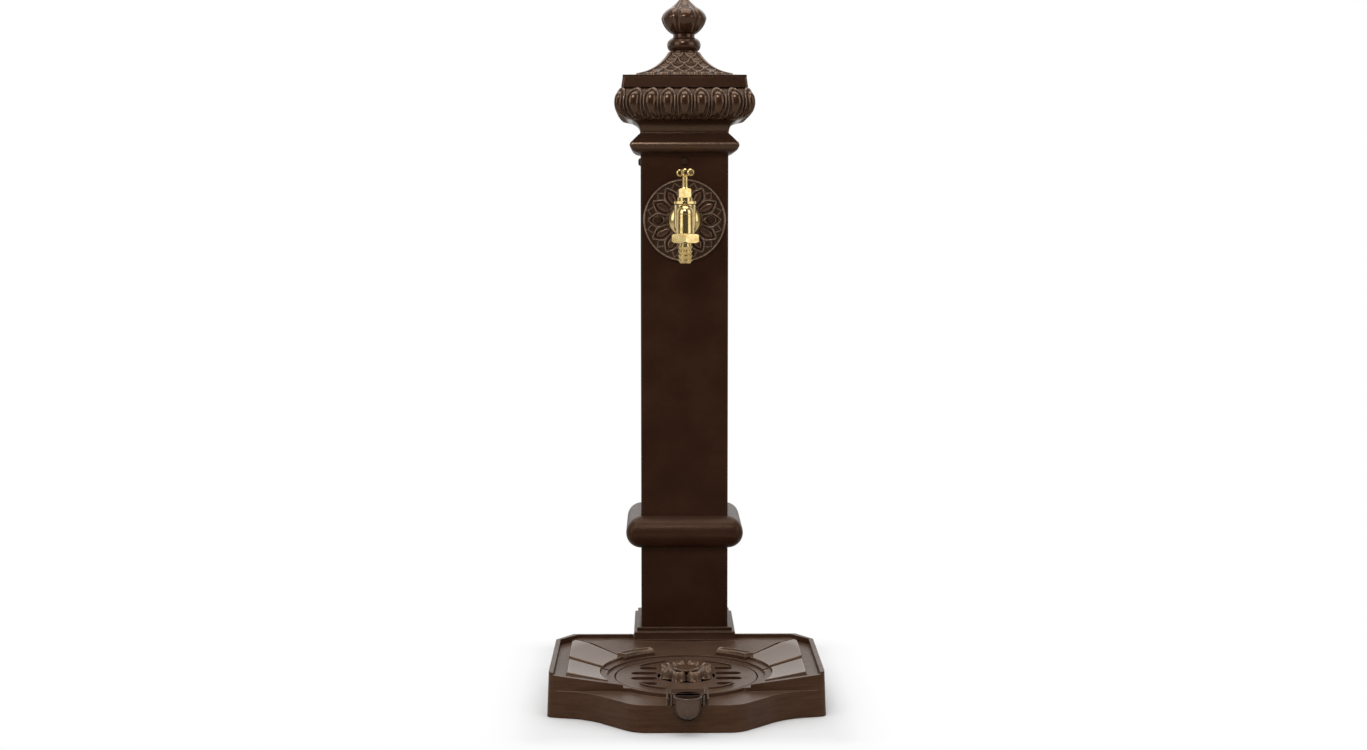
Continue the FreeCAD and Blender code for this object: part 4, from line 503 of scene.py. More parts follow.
def plan_ring(half, corner, per_side, per_corner):
    """Points round a square plan: x, y, outward direction, and place along the side."""
    ring = []
    straight = half - corner
    for side in range(4):
        turn = side * math.pi / 2
        cos_turn = round(math.cos(turn))
        sin_turn = round(math.sin(turn))
        local = []
        for index in range(per_side):
            x = straight * (2 * (index + 0.5) / per_side - 1)
            local.append((x, -half, 0.0, -1.0, x / half))
        for index in range(per_corner):
            angle = math.pi / 2 * (index + 0.5) / per_corner
            out_x = math.sin(angle)
            out_y = -math.cos(angle)
            share = min(angle, math.pi / 2 - angle) / (math.pi / 4)
            edge = straight / half
            along = edge + (1 - edge) * share
            along = along if angle <= math.pi / 4 else -along
            local.append((straight + corner * out_x, -straight + corner * out_y, out_x, out_y, along))
        for x, y, out_x, out_y, along in local:
            ring.append((
                x * cos_turn - y * sin_turn,
                x * sin_turn + y * cos_turn,
                out_x * cos_turn - out_y * sin_turn,
                out_x * sin_turn + out_y * cos_turn,
                along,
            ))
    return ring


def lifted(place, height, out, up, lift, carving):
    """Point of a square ring, lifted along its surface's normal (out, up)."""
    x, y, out_x, out_y, _ = place
    return x + out_x * out * lift, AXIS_Y + y + out_y * out * lift, height + up * lift, carving


def ridge(distance, width):
    """Rounded ridge across a line: 1 on it, 0 beyond its half width."""
    share = min(abs(distance) / width, 1.0)
    return (1 - share * share) ** 1.5


def smooth(low, high, value):
    """0 below low, 1 above high, and an eased rise between them."""
    share = min(max((value - low) / (high - low), 0.0), 1.0)
    return share * share * (3 - 2 * share)


# Cap: torus, neck, cove, ovolo with eggs, and fascia; heights are from the ground

CAP_CORNER = 3.2
CAP_STEP = 0.9
CAP_PER_SIDE = 156
CAP_PER_CORNER = 8
SEAT_GAP = 0.1
SEAT_WIDTH = 4.0
NECK_HALF = 50.5
NECK_RISE = 1.0
TORUS_REACH = 12.3
TORUS_CREST = 9.6
TORUS_ROUND = 11.5
TORUS_NOSE = (0.8, 2.8)
TORUS_HEIGHT = 23.2
COVE_HALF = 63.0
COVE_TOP = 641.5
COVE_ROUND = 14.3
REACH_HEIGHT = 660.0
OVOLO_TOP = 677.0
FASCIA_LIP = 0.4
FASCIA_LOW = 71.4
FASCIA_HIGH = 69.8
TOP_WIDTH = 12.0

# Painted highlight on the torus's nose and painted shade under it and in the cove: strengths of the
# carving value, and a half width in mm
TORUS_HIGHLIGHT = 0.4
TORUS_HIGHLIGHT_HALF = 1.9
TORUS_UNDER_SHADE = 0.45
COVE_SHADE = 0.5

# Eggs: their relief in mm; pitch and half widths as shares of the cap's half side;
# shoulder and crown as shares of the ovolo's height
EGG_RELIEF = 2.6
EGG_PITCH = 0.25
EGG_HALF = 0.31
EGG_FOOT = 0.50
EGG_SWELL = 0.55
ARCH_HALF = 0.415
ARCH_TAPER = 0.03
ARCH_RIM = 0.075
ARCH_LIFT = 0.8
ARCH_SHOULDER = 0.68
ARCH_CROWN = 0.26


def quarter(start, end):
    """Radius of the arc that leaves start upright and passes through end."""
    out = end[0] - start[0]
    rise = end[1] - start[1]
    return (out * out + rise * rise) / (2 * out)


def cap_profile():
    torus_top = COLUMN_TOP + TORUS_HEIGHT
    crest = COLUMN_TOP + TORUS_CREST
    nose = COLUMN_HALF + TORUS_REACH
    cove = (COVE_HALF, COVE_TOP)
    reach = (CAP_REACH - EGG_RELIEF, REACH_HEIGHT)
    ovolo = (FASCIA_LOW - EGG_RELIEF, OVOLO_TOP)
    return profile([
        (COLUMN_HALF - SEAT_WIDTH, COLUMN_TOP + SEAT_GAP),
        (COLUMN_HALF, COLUMN_TOP + SEAT_GAP),
        (nose, crest, TORUS_ROUND, 1),
        (nose - TORUS_NOSE[0], crest + TORUS_NOSE[1]),
        (NECK_HALF, torus_top),
        (NECK_HALF, torus_top + NECK_RISE),
        cove + (COVE_ROUND, -1),
        reach + (quarter(cove, reach), 1),
        ovolo + (quarter(ovolo, reach), 1),
        (FASCIA_LOW, OVOLO_TOP + FASCIA_LIP),
        (FASCIA_HIGH, CAP_TOP),
        (FASCIA_HIGH - TOP_WIDTH, CAP_TOP),
    ], CAP_STEP)


def plain_carving(height):
    """Carving beside the eggs: a painted highlight on the torus's nose, and painted shade under it and
    in the cove.
    """
    crest = COLUMN_TOP + TORUS_CREST + TORUS_NOSE[1] / 2
    worn_and_highlight = TORUS_HIGHLIGHT * ridge(height - crest, TORUS_HIGHLIGHT_HALF)
    under_shade = TORUS_UNDER_SHADE * (1 - smooth(COLUMN_TOP + 4, crest - 1, height))
    cove = COVE_SHADE * smooth(COLUMN_TOP + TORUS_HEIGHT + 2, COVE_TOP - 2, height)
    return worn_and_highlight - under_shade - (cove if height < COVE_TOP else 0.0)


def egg_relief(along, height):
    """Lift and carving of the eggs, each in a raised arch, fanned round the cap."""
    if not COVE_TOP - 1 < height < OVOLO_TOP:
        return 0.0, plain_carving(height)
    rise = (height - COVE_TOP) / (OVOLO_TOP - COVE_TOP)
    across = along / EGG_PITCH
    across = abs(across - round(across))
    egg = EGG_HALF * (EGG_FOOT + (1 - EGG_FOOT) * smooth(0.0, 0.60, rise))
    arch = ARCH_HALF - ARCH_TAPER * (1 - smooth(0.1, 0.6, rise))
    over = max(0.0, rise - ARCH_SHOULDER) / ARCH_CROWN
    across_arch = math.hypot(across / arch, over) * arch
    across_egg = math.hypot(across / egg, over * ARCH_HALF / EGG_HALF)
    bulge = (1 - across_egg ** 2) ** EGG_SWELL if across_egg < 1 else 0.0
    rim = ridge(across_arch - arch, ARCH_RIM)
    egg_lift = bulge * smooth(0.02, 0.30, rise)
    arch_lift = ARCH_LIFT * rim * smooth(0.0, 0.12, rise)
    # The carving paints shade in the hollows round each egg, and a highlight on the arch's rim and
    # round the egg
    if rim < 0.15 and bulge < 0.5:
        carving = -0.8 * smooth(0.05, 0.3, rise)
    else:
        bright = smooth(0.15, 0.75, rise)
        rim_highlight = min(1.0, 1.7 * rim ** 2) * (0.1 + 0.9 * bright)
        carving = max(rim_highlight, 0.45 * bright * ridge(across_egg - 0.72, 0.16))
    return EGG_RELIEF * max(egg_lift, arch_lift), carving


def make_cap():
    rows = []
    points = cap_profile()
    for (half, height), (out, up) in zip(points, slopes(points)):
        row = []
        for place in plan_ring(half, CAP_CORNER, CAP_PER_SIDE, CAP_PER_CORNER):
            lift, carving = egg_relief(place[4], height)
            row.append(lifted(place, height, out, up, lift, carving))
        rows.append(row)
    piece = solid("cap_casting", rows, CARVED, sharp=50)
    finish_piece(piece, "root", "cast_paint", "cap")


# Roof: eave, concave sides with hips and fish scales, and a flat seat for the finial

EAVE_HEIGHT = 2.5
SPRING_HALF = 55.0
SPRING_HEIGHT = 3.8
ROOF_CURVE = 56.0
ROOF_NECK = 16.2
ROOF_SEAT = 8.0
ROOF_STEP = 0.9
ROOF_CORNER = 1.2
ROOF_PER_SIDE = 120
ROOF_PER_CORNER = 4
SEAT_POINTS = 9
HIP_LIFT = 1.5
HIP_CREST = 1.2
HIP_HALF = 2.6
SCALES_FROM_HIP = 3.6
SCALES_REACH = 46.0
SCALE_WIDTH = 15.4
SCALE_DROP = 9.6
SCALE_LIFT = 2.0


def scale_relief(across, down):
    """Fish scales in staggered rows, each with a raised round edge."""
    if down < 1 or down > SCALES_REACH:
        return 0.0, 0.0
    radius = SCALE_WIDTH / 2
    row = math.floor(down / SCALE_DROP)
    shift = 0.5 if (row - 1) % 2 else 0.0
    cell = across / SCALE_WIDTH - shift
    off = (cell - round(cell)) * SCALE_WIDTH
    depth = down - row * SCALE_DROP
    share = math.hypot(off, depth * radius / SCALE_DROP) / radius
    # The carving paints shade between the scales and in their middles, and a highlight on each rim
    if share >= 1:
        return 0.0, -0.7
    rim = ridge(share - 0.82, 0.18) * (0.4 + 0.6 * smooth(-2.0, 4.0, depth))
    return SCALE_LIFT * (0.1 + 0.4 * share ** 2 + 0.5 * rim), rim - 0.35 * (1 - share)


def roof_relief(half, height, along, down):
    """Lift and carving at a height: hips on the corners, scales between them."""
    if height <= CAP_TOP + SPRING_HEIGHT + 0.1 or half <= ROOF_NECK:
        return 0.0, 0.0
    hip = (1 - abs(along)) * half
    hip_lift = HIP_LIFT * ridge(hip - HIP_CREST, HIP_HALF)
    if hip <= SCALES_FROM_HIP:
        # Painted highlight along the hip
        return hip_lift, 0.6 * ridge(hip, 2.4)
    lift, carving = scale_relief(along * half, down)
    return max(hip_lift, lift), carving


def make_roof():
    points = profile([
        (ROOF_HALF, CAP_TOP),
        (ROOF_HALF, CAP_TOP + EAVE_HEIGHT),
        (SPRING_HALF, CAP_TOP + SPRING_HEIGHT),
        (ROOF_NECK, ROOF_TOP, ROOF_CURVE, -1),
        (ROOF_SEAT, ROOF_TOP),
    ], ROOF_STEP)
    runs = [0.0]
    for before, after in zip(points, points[1:]):
        runs.append(runs[-1] + (Vector(after) - Vector(before)).length)
    top = runs[-SEAT_POINTS]
    rows = []
    for (half, height), (out, up), run in zip(points, slopes(points), runs):
        row = []
        for place in plan_ring(half, ROOF_CORNER, ROOF_PER_SIDE, ROOF_PER_CORNER):
            lift, carving = roof_relief(half, height, place[4], top - run)
            row.append(lifted(place, height, out, up, lift, carving))
        rows.append(row)
    finish_piece(solid("roof_casting", rows, CARVED), "root", "cast_paint", "roof")


# Finial: ring, neck and a lobed onion

LOBES = 6
CREASE_TURN = math.radians(8)
CREASE_DEPTH = 0.11
LOBE_DEPTH = 0.03
FINIAL_SEAT = 16.3
RING_LOW = ROOF_TOP + 2.0
RING_ROUND = 8.7
NECK_RADIUS = 12.5
NECK_LOW = RING_LOW + 15.3
ONION_FOOT = 12.4
ONION_LOW = NECK_LOW + 3.7
ONION_RADIUS = 26.7
ONION_WIDEST = ONION_LOW + 18.5
SHOULDER_RADIUS = 17.2
SHOULDER_RISE = 11.5
SPIRE_RADIUS = 6.1
SPIRE_RISE = 21.0
TIP_RADIUS = 1.9
TIP_RISE = 25.2
POINT_RADIUS = 0.4
BORE_RADIUS = 0.5
ONION_ROUND = 25.0
SHOULDER_ROUND = 17.0
SPIRE_ROUND = 60.0
FINIAL_PER_TURN = 192
TURNED_STEP = 0.7


def turned_rows(points, per_turn, place_y, lobe=None):
    """Rows round an upright axis; a lobe scales the radius and gives the carving."""
    rows = []
    for radius, height in points:
        row = []
        for index in range(per_turn):
            angle = 2 * math.pi * index / per_turn
            scale, carving = lobe(angle, height) if lobe else (1.0, 0.0)
            reach = radius * scale
            row.append((reach * math.cos(angle), place_y + reach * math.sin(angle), height, carving))
        rows.append(row)
    return rows


def finial_lobe(angle, height):
    """Swelling lobes parted by narrow creases on the onion."""
    fade = smooth(ONION_LOW, ONION_LOW + 5, height)
    fade *= 1 - smooth(FINIAL_TOP - 5, FINIAL_TOP - 1, height)
    wave = abs(math.sin(LOBES / 2 * (angle - CREASE_TURN)))
    scale = 1 - fade * (CREASE_DEPTH * (1 - wave) ** 2.4 + LOBE_DEPTH * (1 - wave))
    # The carving paints shade in each crease and a highlight beside it
    return scale, fade * (0.25 * ridge(wave - 0.34, 0.16) - ridge(wave, 0.22))


def make_finial():
    points = profile([
        (BORE_RADIUS, ROOF_TOP),
        (FINIAL_SEAT, ROOF_TOP),
        (FINIAL_SEAT, RING_LOW),
        (NECK_RADIUS, NECK_LOW, RING_ROUND, 1),
        (ONION_FOOT, ONION_LOW),
        (ONION_RADIUS, ONION_WIDEST, ONION_ROUND, 1),
        (SHOULDER_RADIUS, ONION_WIDEST + SHOULDER_RISE, SHOULDER_ROUND, 1),
        (SPIRE_RADIUS, ONION_WIDEST + SPIRE_RISE, SPIRE_ROUND, -1),
        (TIP_RADIUS, ONION_WIDEST + TIP_RISE),
        (POINT_RADIUS, FINIAL_TOP),
    ], TURNED_STEP)
    rows = turned_rows(points, FINIAL_PER_TURN, AXIS_Y, finial_lobe)
    finish_piece(solid("finial_casting", rows, CARVED), "root", "cast_paint", "finial")


# Collar

COLLAR_GAP = 0.2
COLLAR_INSET = 0.4
COLLAR_CORNER = 1.0
COLLAR_SWELL = 9.0
COLLAR_STEP = 1.4
COLLAR_PER_SIDE = 40
COLLAR_PER_CORNER = 6


def make_collar():
    """Half-round moulding whose corners grow rounder as it swells."""
    low, high = span("collar", "z")
    half = COLUMN_HALF + COLLAR_GAP
    reach = span("collar", "x")[1] - half - COLLAR_INSET
    radius = (reach ** 2 + (high - low) ** 2 / 4) / (2 * reach)
    rows = []
    for out, height in profile([(half, low), (half, high, radius, 1)], COLLAR_STEP):
        corner = COLLAR_CORNER + COLLAR_SWELL * (out - half) / reach
        ring = plan_ring(out, corner, COLLAR_PER_SIDE, COLLAR_PER_CORNER)
        rows.append([(x, AXIS_Y + y, height) for x, y, *_ in ring])
    piece = solid("collar_casting", rows, CAST, ends=(False, False))
    finish_piece(piece, "root", "cast_paint", "collar")


# Rosette: lengths are from its middle, heights from the column's face

PETALS = 12
PETAL_PITCH = 2 * math.pi / PETALS
PETAL_START = 13.0
PETAL_FOOT = 3.2
PETAL_WIDE = 31.5
PETAL_TIP = 42.0
PETAL_HALF = 7.5
PLATE_HEIGHT = 2.0
HUB_RADIUS = 19.0
HUB_HEIGHT = 5.4
HUB_STEP = 2.2
PETAL_RIM_LIFT = 2.6
PETAL_RIM_HALF = 1.3
BOSS_INSET = 2.6
BOSS_LIFT = 2.9
CHEVRON_START = 36.0
CHEVRON_TIP = 43.2
CHEVRON_HALF = 4.6
CHEVRON_LIFT = 1.9
EDGE_INSET = 1.75
EDGE_LIFT = 2.8
EDGE_HALF = 1.7
SCREW_PLACE = 29.6
SCREW_SEAT_RADIUS = 5.2
SCREW_SEAT_EDGE = 6.4
SCREW_SEAT_HEIGHT = 3.1
HOLE = 10.7
TRIM = 0.1
ROSETTE_RINGS = 78
ROSETTE_PER_TURN = 480


def petal_half(along):
    """Half width of a petal's outline at a distance from the middle."""
    if along < PETAL_START or along > PETAL_TIP:
        return -1.0
    if along < PETAL_WIDE:
        share = (along - PETAL_START) / (PETAL_WIDE - PETAL_START)
        return PETAL_FOOT + (PETAL_HALF - PETAL_FOOT) * math.sin(share * math.pi / 2)
    share = (along - PETAL_WIDE) / (PETAL_TIP - PETAL_WIDE)
    return PETAL_HALF * (1 - share ** 1.25)


def petal_reliefs(along, across):
    """Lift and carving of a petal's raised rim and of the boss inside it."""
    half = petal_half(along)
    if half <= 0:
        return []
    slope = 0.82 if along > PETAL_WIDE else 0.97
    rim = ridge((across - half) * slope, PETAL_RIM_HALF)
    # Painted highlight on the petal's rim
    reliefs = [(PETAL_RIM_LIFT * rim, min(1.0, 2.4 * rim - 0.4))]
    boss_half = (half - BOSS_INSET) * smooth(16.0, 24.0, along)
    if boss_half > 0.3 and across < boss_half:
        swell = (1 - (across / boss_half) ** 2) ** 0.6 * (1 - smooth(35.5, 38.5, along))
        reliefs.append((BOSS_LIFT * swell, 0.1 * swell))
    return reliefs


def chevron_reliefs(along, across):
    """Lift and carving of the chevron between two petals."""
    if across >= CHEVRON_HALF or along <= CHEVRON_START:
        return []
    crest = ridge(along - CHEVRON_TIP + across * 1.15, 1.2)
    return [(CHEVRON_LIFT * crest, min(1.0, 2.2 * crest - 0.4))]


def rosette_relief(radius, angle):
    """Height of the rosette's front, and its carving."""
    if radius < HUB_RADIUS:
        return HUB_HEIGHT - HUB_STEP * smooth(HUB_RADIUS - 2.0, HUB_RADIUS, radius), 0.0
    index = round(angle / PETAL_PITCH)
    off = angle - index * PETAL_PITCH
    between = abs(off) - PETAL_PITCH / 2
    along = radius * math.cos(off)
    across = abs(radius * math.sin(off))
    edge = ridge(radius - ROSETTE_RADIUS + EDGE_INSET, EDGE_HALF)
    # The carving paints shade on the plate between the petals, and a highlight on rims, chevrons and
    # the edge
    reliefs = [(0.9 * (1 - smooth(HUB_RADIUS, HUB_RADIUS + 3, radius)), -0.6)]
    reliefs += petal_reliefs(along, across)
    reliefs += chevron_reliefs(radius * math.cos(between), abs(radius * math.sin(between)))
    reliefs.append((EDGE_LIFT * edge, min(1.0, 1.6 * edge - 0.4)))
    height = PLATE_HEIGHT + max(lift for lift, _ in reliefs)
    carving = max(value for _, value in reliefs)
    if radius > ROSETTE_RADIUS - 2 * TRIM:
        height = PLATE_HEIGHT
    if index % (PETALS // 2) == 0:
        to_screw = math.hypot(along - SCREW_PLACE, across)
        if to_screw < SCREW_SEAT_EDGE:
            height = min(height, SCREW_SEAT_HEIGHT + max(0.0, to_screw - SCREW_SEAT_RADIUS) * 1.6)
            # Painted highlight round the screw's seat
            carving = 0.7 * ridge(to_screw - 5.8, 0.9)
    return height, carving


def make_rosette():
    """Round plate as rings from the tap's hole to the rim, then its back."""
    turns = [2 * math.pi * index / ROSETTE_PER_TURN for index in range(ROSETTE_PER_TURN)]
    outer = ROSETTE_RADIUS - TRIM
    rows = []
    for line in range(ROSETTE_RINGS + 1):
        radius = HOLE + (outer - HOLE) * line / ROSETTE_RINGS
        row = []
        for angle in turns:
            out, carving = rosette_relief(radius, angle)
            across = radius * math.cos(angle)
            row.append((across, FACE_Y - out, TAP_HEIGHT + radius * math.sin(angle), carving))
        rows.append(row)
    for radius in (outer, HOLE):
        rows.append([
            (radius * math.cos(angle), FACE_Y - TRIM / 2, TAP_HEIGHT + radius * math.sin(angle))
            for angle in turns])
    rows.append(rows[0])
    piece = solid("rosette_casting", rows, CARVED, ends=(False, False))
    finish_piece(piece, "root", "cast_paint", "rosette")


# Knob of the grate: petalled foot, neck and domed boss

KNOB_PETALS = 8
PETAL_REACH = 31.0
PETAL_NOTCH = 9.5
PETAL_LIP = 2.6
BOWL_LOW = 2.0
BOWL_RISE = 8.0
VALLEY_DEPTH = 6.0
RIB_LIFT = 1.2
RIB_PLACE = 0.62
KNOB_MARGIN = 0.3
KNOB_CENTRE = 0.3
FOOT_GAP = 0.02
KNOB_NECK = 9.0
KNOB_NECK_LOW = 4.0
KNOB_NECK_ROUND = 9.0
KNOB_RADIUS = 13.4
KNOB_TAPER = 0.6
BOSS_HEIGHT = 4.6
BOSS_EDGE = 2.4
BOSS_ROUND = 1.4
DOME_ROUND = 40.0
GRATE_THICK = 4.8
KNOB_RINGS = 36
KNOB_PER_TURN = 240


def knob_relief(radius, angle):
    """Height of the petalled foot above the grate, and its carving."""
    off = angle * KNOB_PETALS / (2 * math.pi) - 0.5
    off = abs(off - round(off)) * 2
    tip = PETAL_REACH - PETAL_NOTCH * off ** 1.8
    if radius > tip:
        # Painted shade on the grate round the foot
        return 0.0, -0.5
    edge = 1 - smooth(tip - PETAL_LIP, tip, radius)
    bowl = BOWL_LOW + BOWL_RISE * smooth(12.0, 26.0, radius)
    rib = RIB_LIFT * ridge(off - RIB_PLACE, 0.2) * smooth(14.0, 18.0, radius)
    valley = VALLEY_DEPTH * smooth(0.66, 1.0, off)
    # Painted highlight on the petals' tips and ribs, painted shade in the valleys between them
    worn_and_highlight = max(0.8 * ridge(radius - tip + 3.0, 2.6), 0.5 * ridge(off - RIB_PLACE, 0.2))
    return max(0.0, edge * (bowl + rib - valley)), worn_and_highlight - 0.9 * smooth(0.85, 1.0, off)


def make_knob():
    """The foot from its petals' tips inwards, then the neck and boss above it."""
    level = span("grate", "z")[0] + GRATE_THICK
    outer = PETAL_REACH + KNOB_MARGIN
    rows = []
    for line in range(KNOB_RINGS):
        radius = outer - (outer - KNOB_NECK - 1.0) * line / (KNOB_RINGS - 1)
        row = []
        for index in range(KNOB_PER_TURN):
            angle = 2 * math.pi * index / KNOB_PER_TURN
            lift, carving = knob_relief(radius, angle)
            row.append((radius * math.cos(angle), GRATE_Y + radius * math.sin(angle),
                        level + FOOT_GAP + lift, carving))
        rows.append(row)
    rows += turned_rows(profile([
        (KNOB_NECK, level + KNOB_NECK_LOW),
        (KNOB_RADIUS, KNOB_TOP - BOSS_HEIGHT, KNOB_NECK_ROUND, -1),
        (KNOB_RADIUS - KNOB_TAPER, KNOB_TOP - BOSS_EDGE, BOSS_ROUND, 1),
        (KNOB_CENTRE, KNOB_TOP, DOME_ROUND, 1),
    ], TURNED_STEP), KNOB_PER_TURN, GRATE_Y)
    finish_piece(solid("grate_knob_casting", rows, CARVED), "grate", "cast_paint", "grate_knob")


# Panels of the tray; plan positions are from the grate's centre, the second one behind it

BAND_RADIUS = 86.0
PANEL_LOW = 35.5
PANEL_HIGH = 44.5
PANEL_SLOPE = 0.14
PANEL_LIFT = 2.6
PANEL_EDGE = 1.5
PANEL_INNER = 93.0
PANEL_SUNK = 0.5
STRIP_X = 130.0
PANEL_BACK = (116.5, 43.0)
PANEL_SIDE = (34.0, -28.6)
CHAMFER_START = 111.0
CHAMFER_SLOPE = 0.94
BAR_TOP = 42.4
BAR_SUNK = 2.2
BAR_FRAME_LIFT = 1.4
BAR_EDGE = 1.0
BAR_INNER = 88.3
BAR_OUTER = 100.7
BURIED = 1.5
NEAR_EDGE = [0.0, 0.35, 0.7, 1.05, 1.4, 1.9, 2.6]
PATCH_STEP = 4.0

# First and last angle in degrees, from the right towards the back
BACK_TURNS = (41.6, 12.6)
SIDE_TURNS = (8.2, -27.8)
BAR_INNER_TURNS = (66.4, 40.6)
BAR_OUTER_TURNS = (66.7, 40.3)


def panel_level(x, back):
    """Height of the tray's floor."""
    out = max(0.0, math.hypot(x, back) - BAND_RADIUS)
    return min(PANEL_LOW + out * PANEL_SLOPE, PANEL_HIGH)


def steps(length):
    """Distances from 0 to a length, close together near both ends."""
    last = NEAR_EDGE[-1]
    inner = max(2, round((length - 2 * last) / PATCH_STEP))
    between = [last + (length - 2 * last) * index / inner for index in range(1, inner)]
    return NEAR_EDGE + between + [length - value for value in reversed(NEAR_EDGE)]


def patch(name, inner, outer, fall, rise):
    """A raised patch between two curves, closed below; its edges fall over a width."""
    across = (Vector(inner(0.5)) - Vector(outer(0.5))).length
    start = Vector(inner(0.0)) + Vector(outer(0.0))
    end = Vector(inner(1.0)) + Vector(outer(1.0))
    along = (start - end).length / 2
    rows = []
    for out in steps(across):
        row = []
        below = []
        for run in steps(along):
            share = run / along
            x, back = Vector(inner(share)).lerp(Vector(outer(share)), out / across)
            height, carving = rise(min(out, across - out, run, along - run) / fall, x, back)
            row.append((x, GRATE_Y + back, height, carving))
            below.append((x, GRATE_Y + back, panel_level(x, back) - BURIED))
        rows.append(row + below[::-1])
    for side, label in ((1, "right"), (-1, "left")):
        mirrored = [[(point[0] * side,) + tuple(point[1:]) for point in row[::side]] for row in rows]
        finish_piece(solid(f"{name}_{label}", mirrored, CARVED), "root", "cast_paint")


def panel_rise(edge, x, back):
    """Flat top with a rounded edge lightened by wear and a painted highlight, and painted shade down
    its fall; edge is 1 where the fall ends.
    """
    carving = ridge(edge - 1.25, 0.6) - 0.95 * (1 - smooth(0.35, 0.75, edge))
    low = panel_level(x, back) - PANEL_SUNK
    return low + (PANEL_LIFT + PANEL_SUNK) * smooth(0.1, 1.0, edge), carving


def bar_rise(edge, x, back):
    """Raised frame round a sunk floor."""
    frame_line = ridge(edge - 1.2, 1.1)
    side = 1 - smooth(0.0, 0.4, edge)
    height = BAR_TOP - BAR_SUNK * side + BAR_FRAME_LIFT * frame_line
    # The carving paints a highlight on the frame and its outer fall, and shade on the sunk floor
    return height, 1.8 * frame_line + 1.3 * side - 0.5


def on_circle(radius, start, end):
    """Curve along a circle round the grate, between two angles in degrees."""
    def place(share):
        angle = math.radians(start + (end - start) * share)
        return radius * math.cos(angle), radius * math.sin(angle)
    return place


def back_outer(share):
    """Outer edge of the back panel, which follows the chamfered corner."""
    back = PANEL_BACK[0] + (PANEL_BACK[1] - PANEL_BACK[0]) * share
    return min(STRIP_X, STRIP_X - (back - CHAMFER_START) * CHAMFER_SLOPE), back


def side_outer(share):
    return STRIP_X, PANEL_SIDE[0] + (PANEL_SIDE[1] - PANEL_SIDE[0]) * share


def make_tray_panels():
    back_inner = on_circle(PANEL_INNER, *BACK_TURNS)
    side_inner = on_circle(PANEL_INNER, *SIDE_TURNS)
    bar_inner = on_circle(BAR_INNER, *BAR_INNER_TURNS)
    bar_outer = on_circle(BAR_OUTER, *BAR_OUTER_TURNS)
    patch("panel_back", back_inner, back_outer, PANEL_EDGE, panel_rise)
    patch("panel_side", side_inner, side_outer, PANEL_EDGE, panel_rise)
    patch("bar_frame", bar_inner, bar_outer, BAR_EDGE, bar_rise)


# Stage: camera, floor, room and lights; places and sizes of lights in metres

PIXEL_FOCAL = 1891.0
PHOTO_WIDTH = 1367.0
SENSOR_WIDTH = 36.0
CAMERA_BACK = 2213.0
CAMERA_HEIGHT = 542.0
CAMERA_SIDE = -30.0
CAMERA_PITCH = 5.05
CAMERA_YAW = 0.765
CAMERA_REACH = 50.0
FLOOR_HALF = 8.0
FLOOR_GAP = 0.2
FLOOR_ROUGH = 0.9
SHADOW_REACH = 0.1
ROOM_LEVEL = 0.9
MIDDLE = (0.0, 0.0, 0.45)
FLOOR_MIDDLE = (0.0, 0.0, 0.2)

# name: place, target, width, height and power in watts
SOFTBOXES = {
    "left": ((-2.0, -1.6, 1.5), MIDDLE, 1.7, 2.2, 20.0),
    "right": ((2.0, -1.4, 1.3), MIDDLE, 1.5, 2.0, 14.0),
    "front": ((-0.5, -2.3, 2.5), MIDDLE, 0.9, 0.6, 22.0),
    "top": ((0.0, 0.0, 2.4), MIDDLE, 1.6, 1.4, 18.0),
    "back": ((0.0, 1.8, 1.9), FLOOR_MIDDLE, 2.4, 0.9, 6.0),
}


def make_camera():
    data = bpy.data.cameras.new("camera")
    data.sensor_width = SENSOR_WIDTH
    data.lens = SENSOR_WIDTH * PIXEL_FOCAL / PHOTO_WIDTH
    data.clip_end = CAMERA_REACH
    camera = bpy.data.objects.new("camera", data)
    camera.location = (CAMERA_SIDE * MM, (AXIS_Y - CAMERA_BACK) * MM, CAMERA_HEIGHT * MM)
    camera.rotation_euler = (math.radians(90 - CAMERA_PITCH), 0, math.radians(-CAMERA_YAW))
    bpy.context.scene.collection.objects.link(camera)
    bpy.context.scene.camera = camera


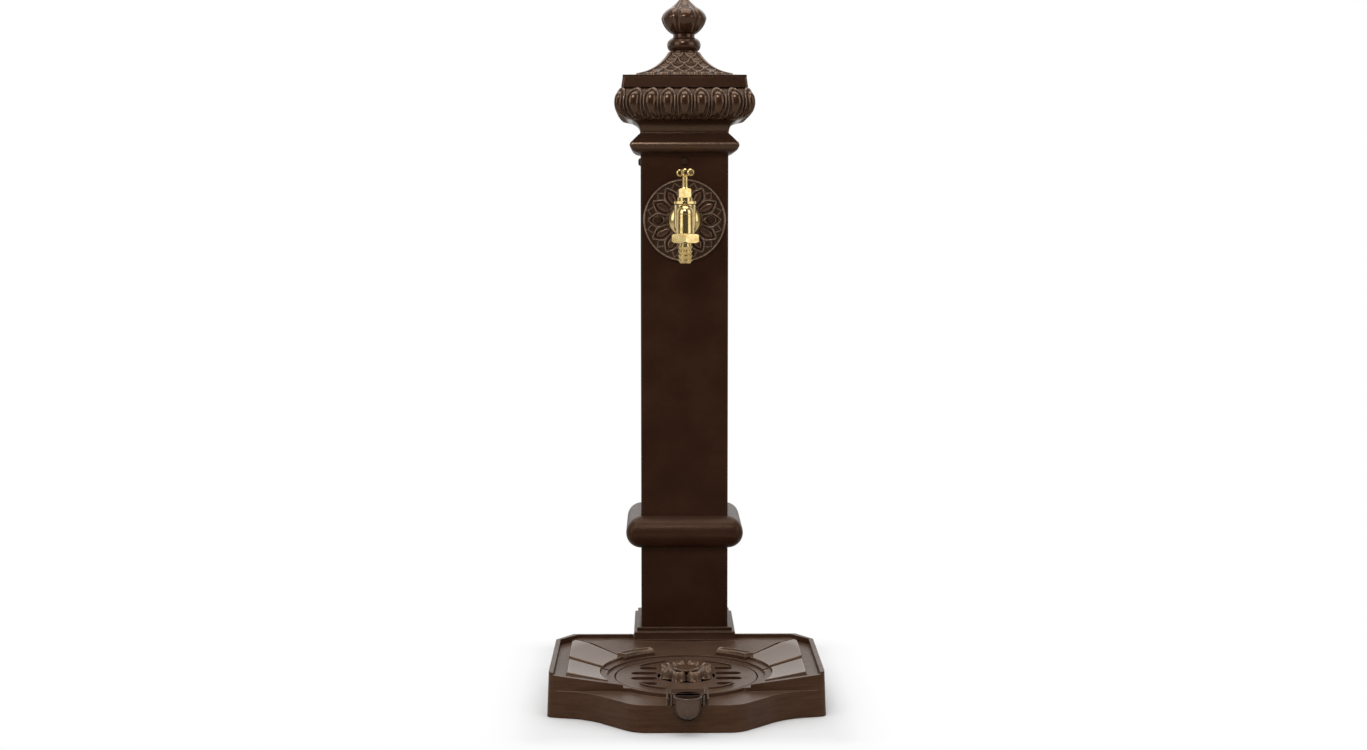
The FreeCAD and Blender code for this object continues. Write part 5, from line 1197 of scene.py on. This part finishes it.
def floor_white():
    """Floor paint that shows the soft shadow beside the object and is white farther off."""
    finish = new_finish("floor_white")
    place = finish.place()
    beside = (finish.axis(place, 0).maths("ABSOLUTE") - CAD_BOX[1][0]).maths("MAXIMUM", 0.0)
    before = (finish.axis(place, 1).maths("ABSOLUTE") - CAD_BOX[1][1]).maths("MAXIMUM", 0.0)
    away = (beside * beside + before * before) ** 0.5
    far = finish.ramp(away * (1 / SHADOW_REACH), [(0.0, 0.0), (0.15, 0.25), (0.35, 0.75), (0.65, 1.0)])
    plain = finish.node("ShaderNodeBsdfPrincipled", {}, {
        "Base Color": opaque(FLOOR_GREY), "Roughness": FLOOR_ROUGH})
    shadowed = finish.node("ShaderNodeBsdfPrincipled", {}, {
        "Base Color": opaque(FLOOR_PALE), "Roughness": FLOOR_ROUGH, "Specular IOR Level": 0.0})
    white = finish.node("ShaderNodeEmission", {}, {"Color": opaque(WHITE), "Strength": 1.0})
    seen = finish.node("ShaderNodeMixShader", {}, {0: far, 1: shadowed, 2: white})
    camera_ray = finish.node("ShaderNodeLightPath")
    mixed = finish.node("ShaderNodeMixShader", {}, {0: camera_ray, 1: plain, 2: seen})
    finish.node("ShaderNodeOutputMaterial", {}, {"Surface": mixed})
    return finish.owner


def make_floor():
    mesh = bpy.data.meshes.new("floor")
    corners = [(-FLOOR_HALF, -FLOOR_HALF, 0), (FLOOR_HALF, -FLOOR_HALF, 0),
               (FLOOR_HALF, FLOOR_HALF, 0), (-FLOOR_HALF, FLOOR_HALF, 0)]
    mesh.from_pydata(corners, [], [(0, 1, 2, 3)])
    mesh.materials.append(floor_white())
    floor = bpy.data.objects.new("floor", mesh)
    floor.location.z = -FLOOR_GAP * MM
    bpy.context.scene.collection.objects.link(floor)


def make_world():
    """White behind the object and overhead, dark behind the camera."""
    world = bpy.data.worlds.new("studio")
    bpy.context.scene.world = world
    finish = Finish(world)
    direction = finish.node("ShaderNodeTexCoord", out=0)
    back = finish.axis(direction, 1)
    up = finish.axis(direction, 2)
    behind = finish.ramp(back * 0.5 + 0.5, [(0.0, 0.08), (0.35, 0.10), (0.55, 0.30), (0.75, 1.0)])
    above = finish.ramp(up, [(0.30, 0.0), (0.9, 0.35)])
    level = behind.maths("MAXIMUM", above)
    room = finish.node("ShaderNodeBackground", {}, {"Color": level, "Strength": ROOM_LEVEL})
    white = finish.node("ShaderNodeBackground", {}, {"Color": opaque(WHITE), "Strength": 1.0})
    camera_ray = finish.node("ShaderNodeLightPath")
    mixed = finish.node("ShaderNodeMixShader", {}, {0: camera_ray, 1: room, 2: white})
    finish.node("ShaderNodeOutputWorld", {}, {"Surface": mixed})


def make_lights():
    for name, (place, target, width, height, power) in SOFTBOXES.items():
        data = bpy.data.lights.new(name, "AREA")
        data.shape = "RECTANGLE"
        data.size = width
        data.size_y = height
        data.energy = power
        light = bpy.data.objects.new(name, data)
        light.location = place
        aim = Vector(target) - Vector(place)
        light.rotation_euler = aim.to_track_quat("-Z", "Y").to_euler()
        bpy.context.scene.collection.objects.link(light)


make_camera()
dress_cad()
make_cap()
make_roof()
make_finial()
make_collar()
make_rosette()
make_knob()
make_tray_panels()
make_floor()
make_world()
make_lights()
bpy.context.scene.view_settings.view_transform = "Standard"
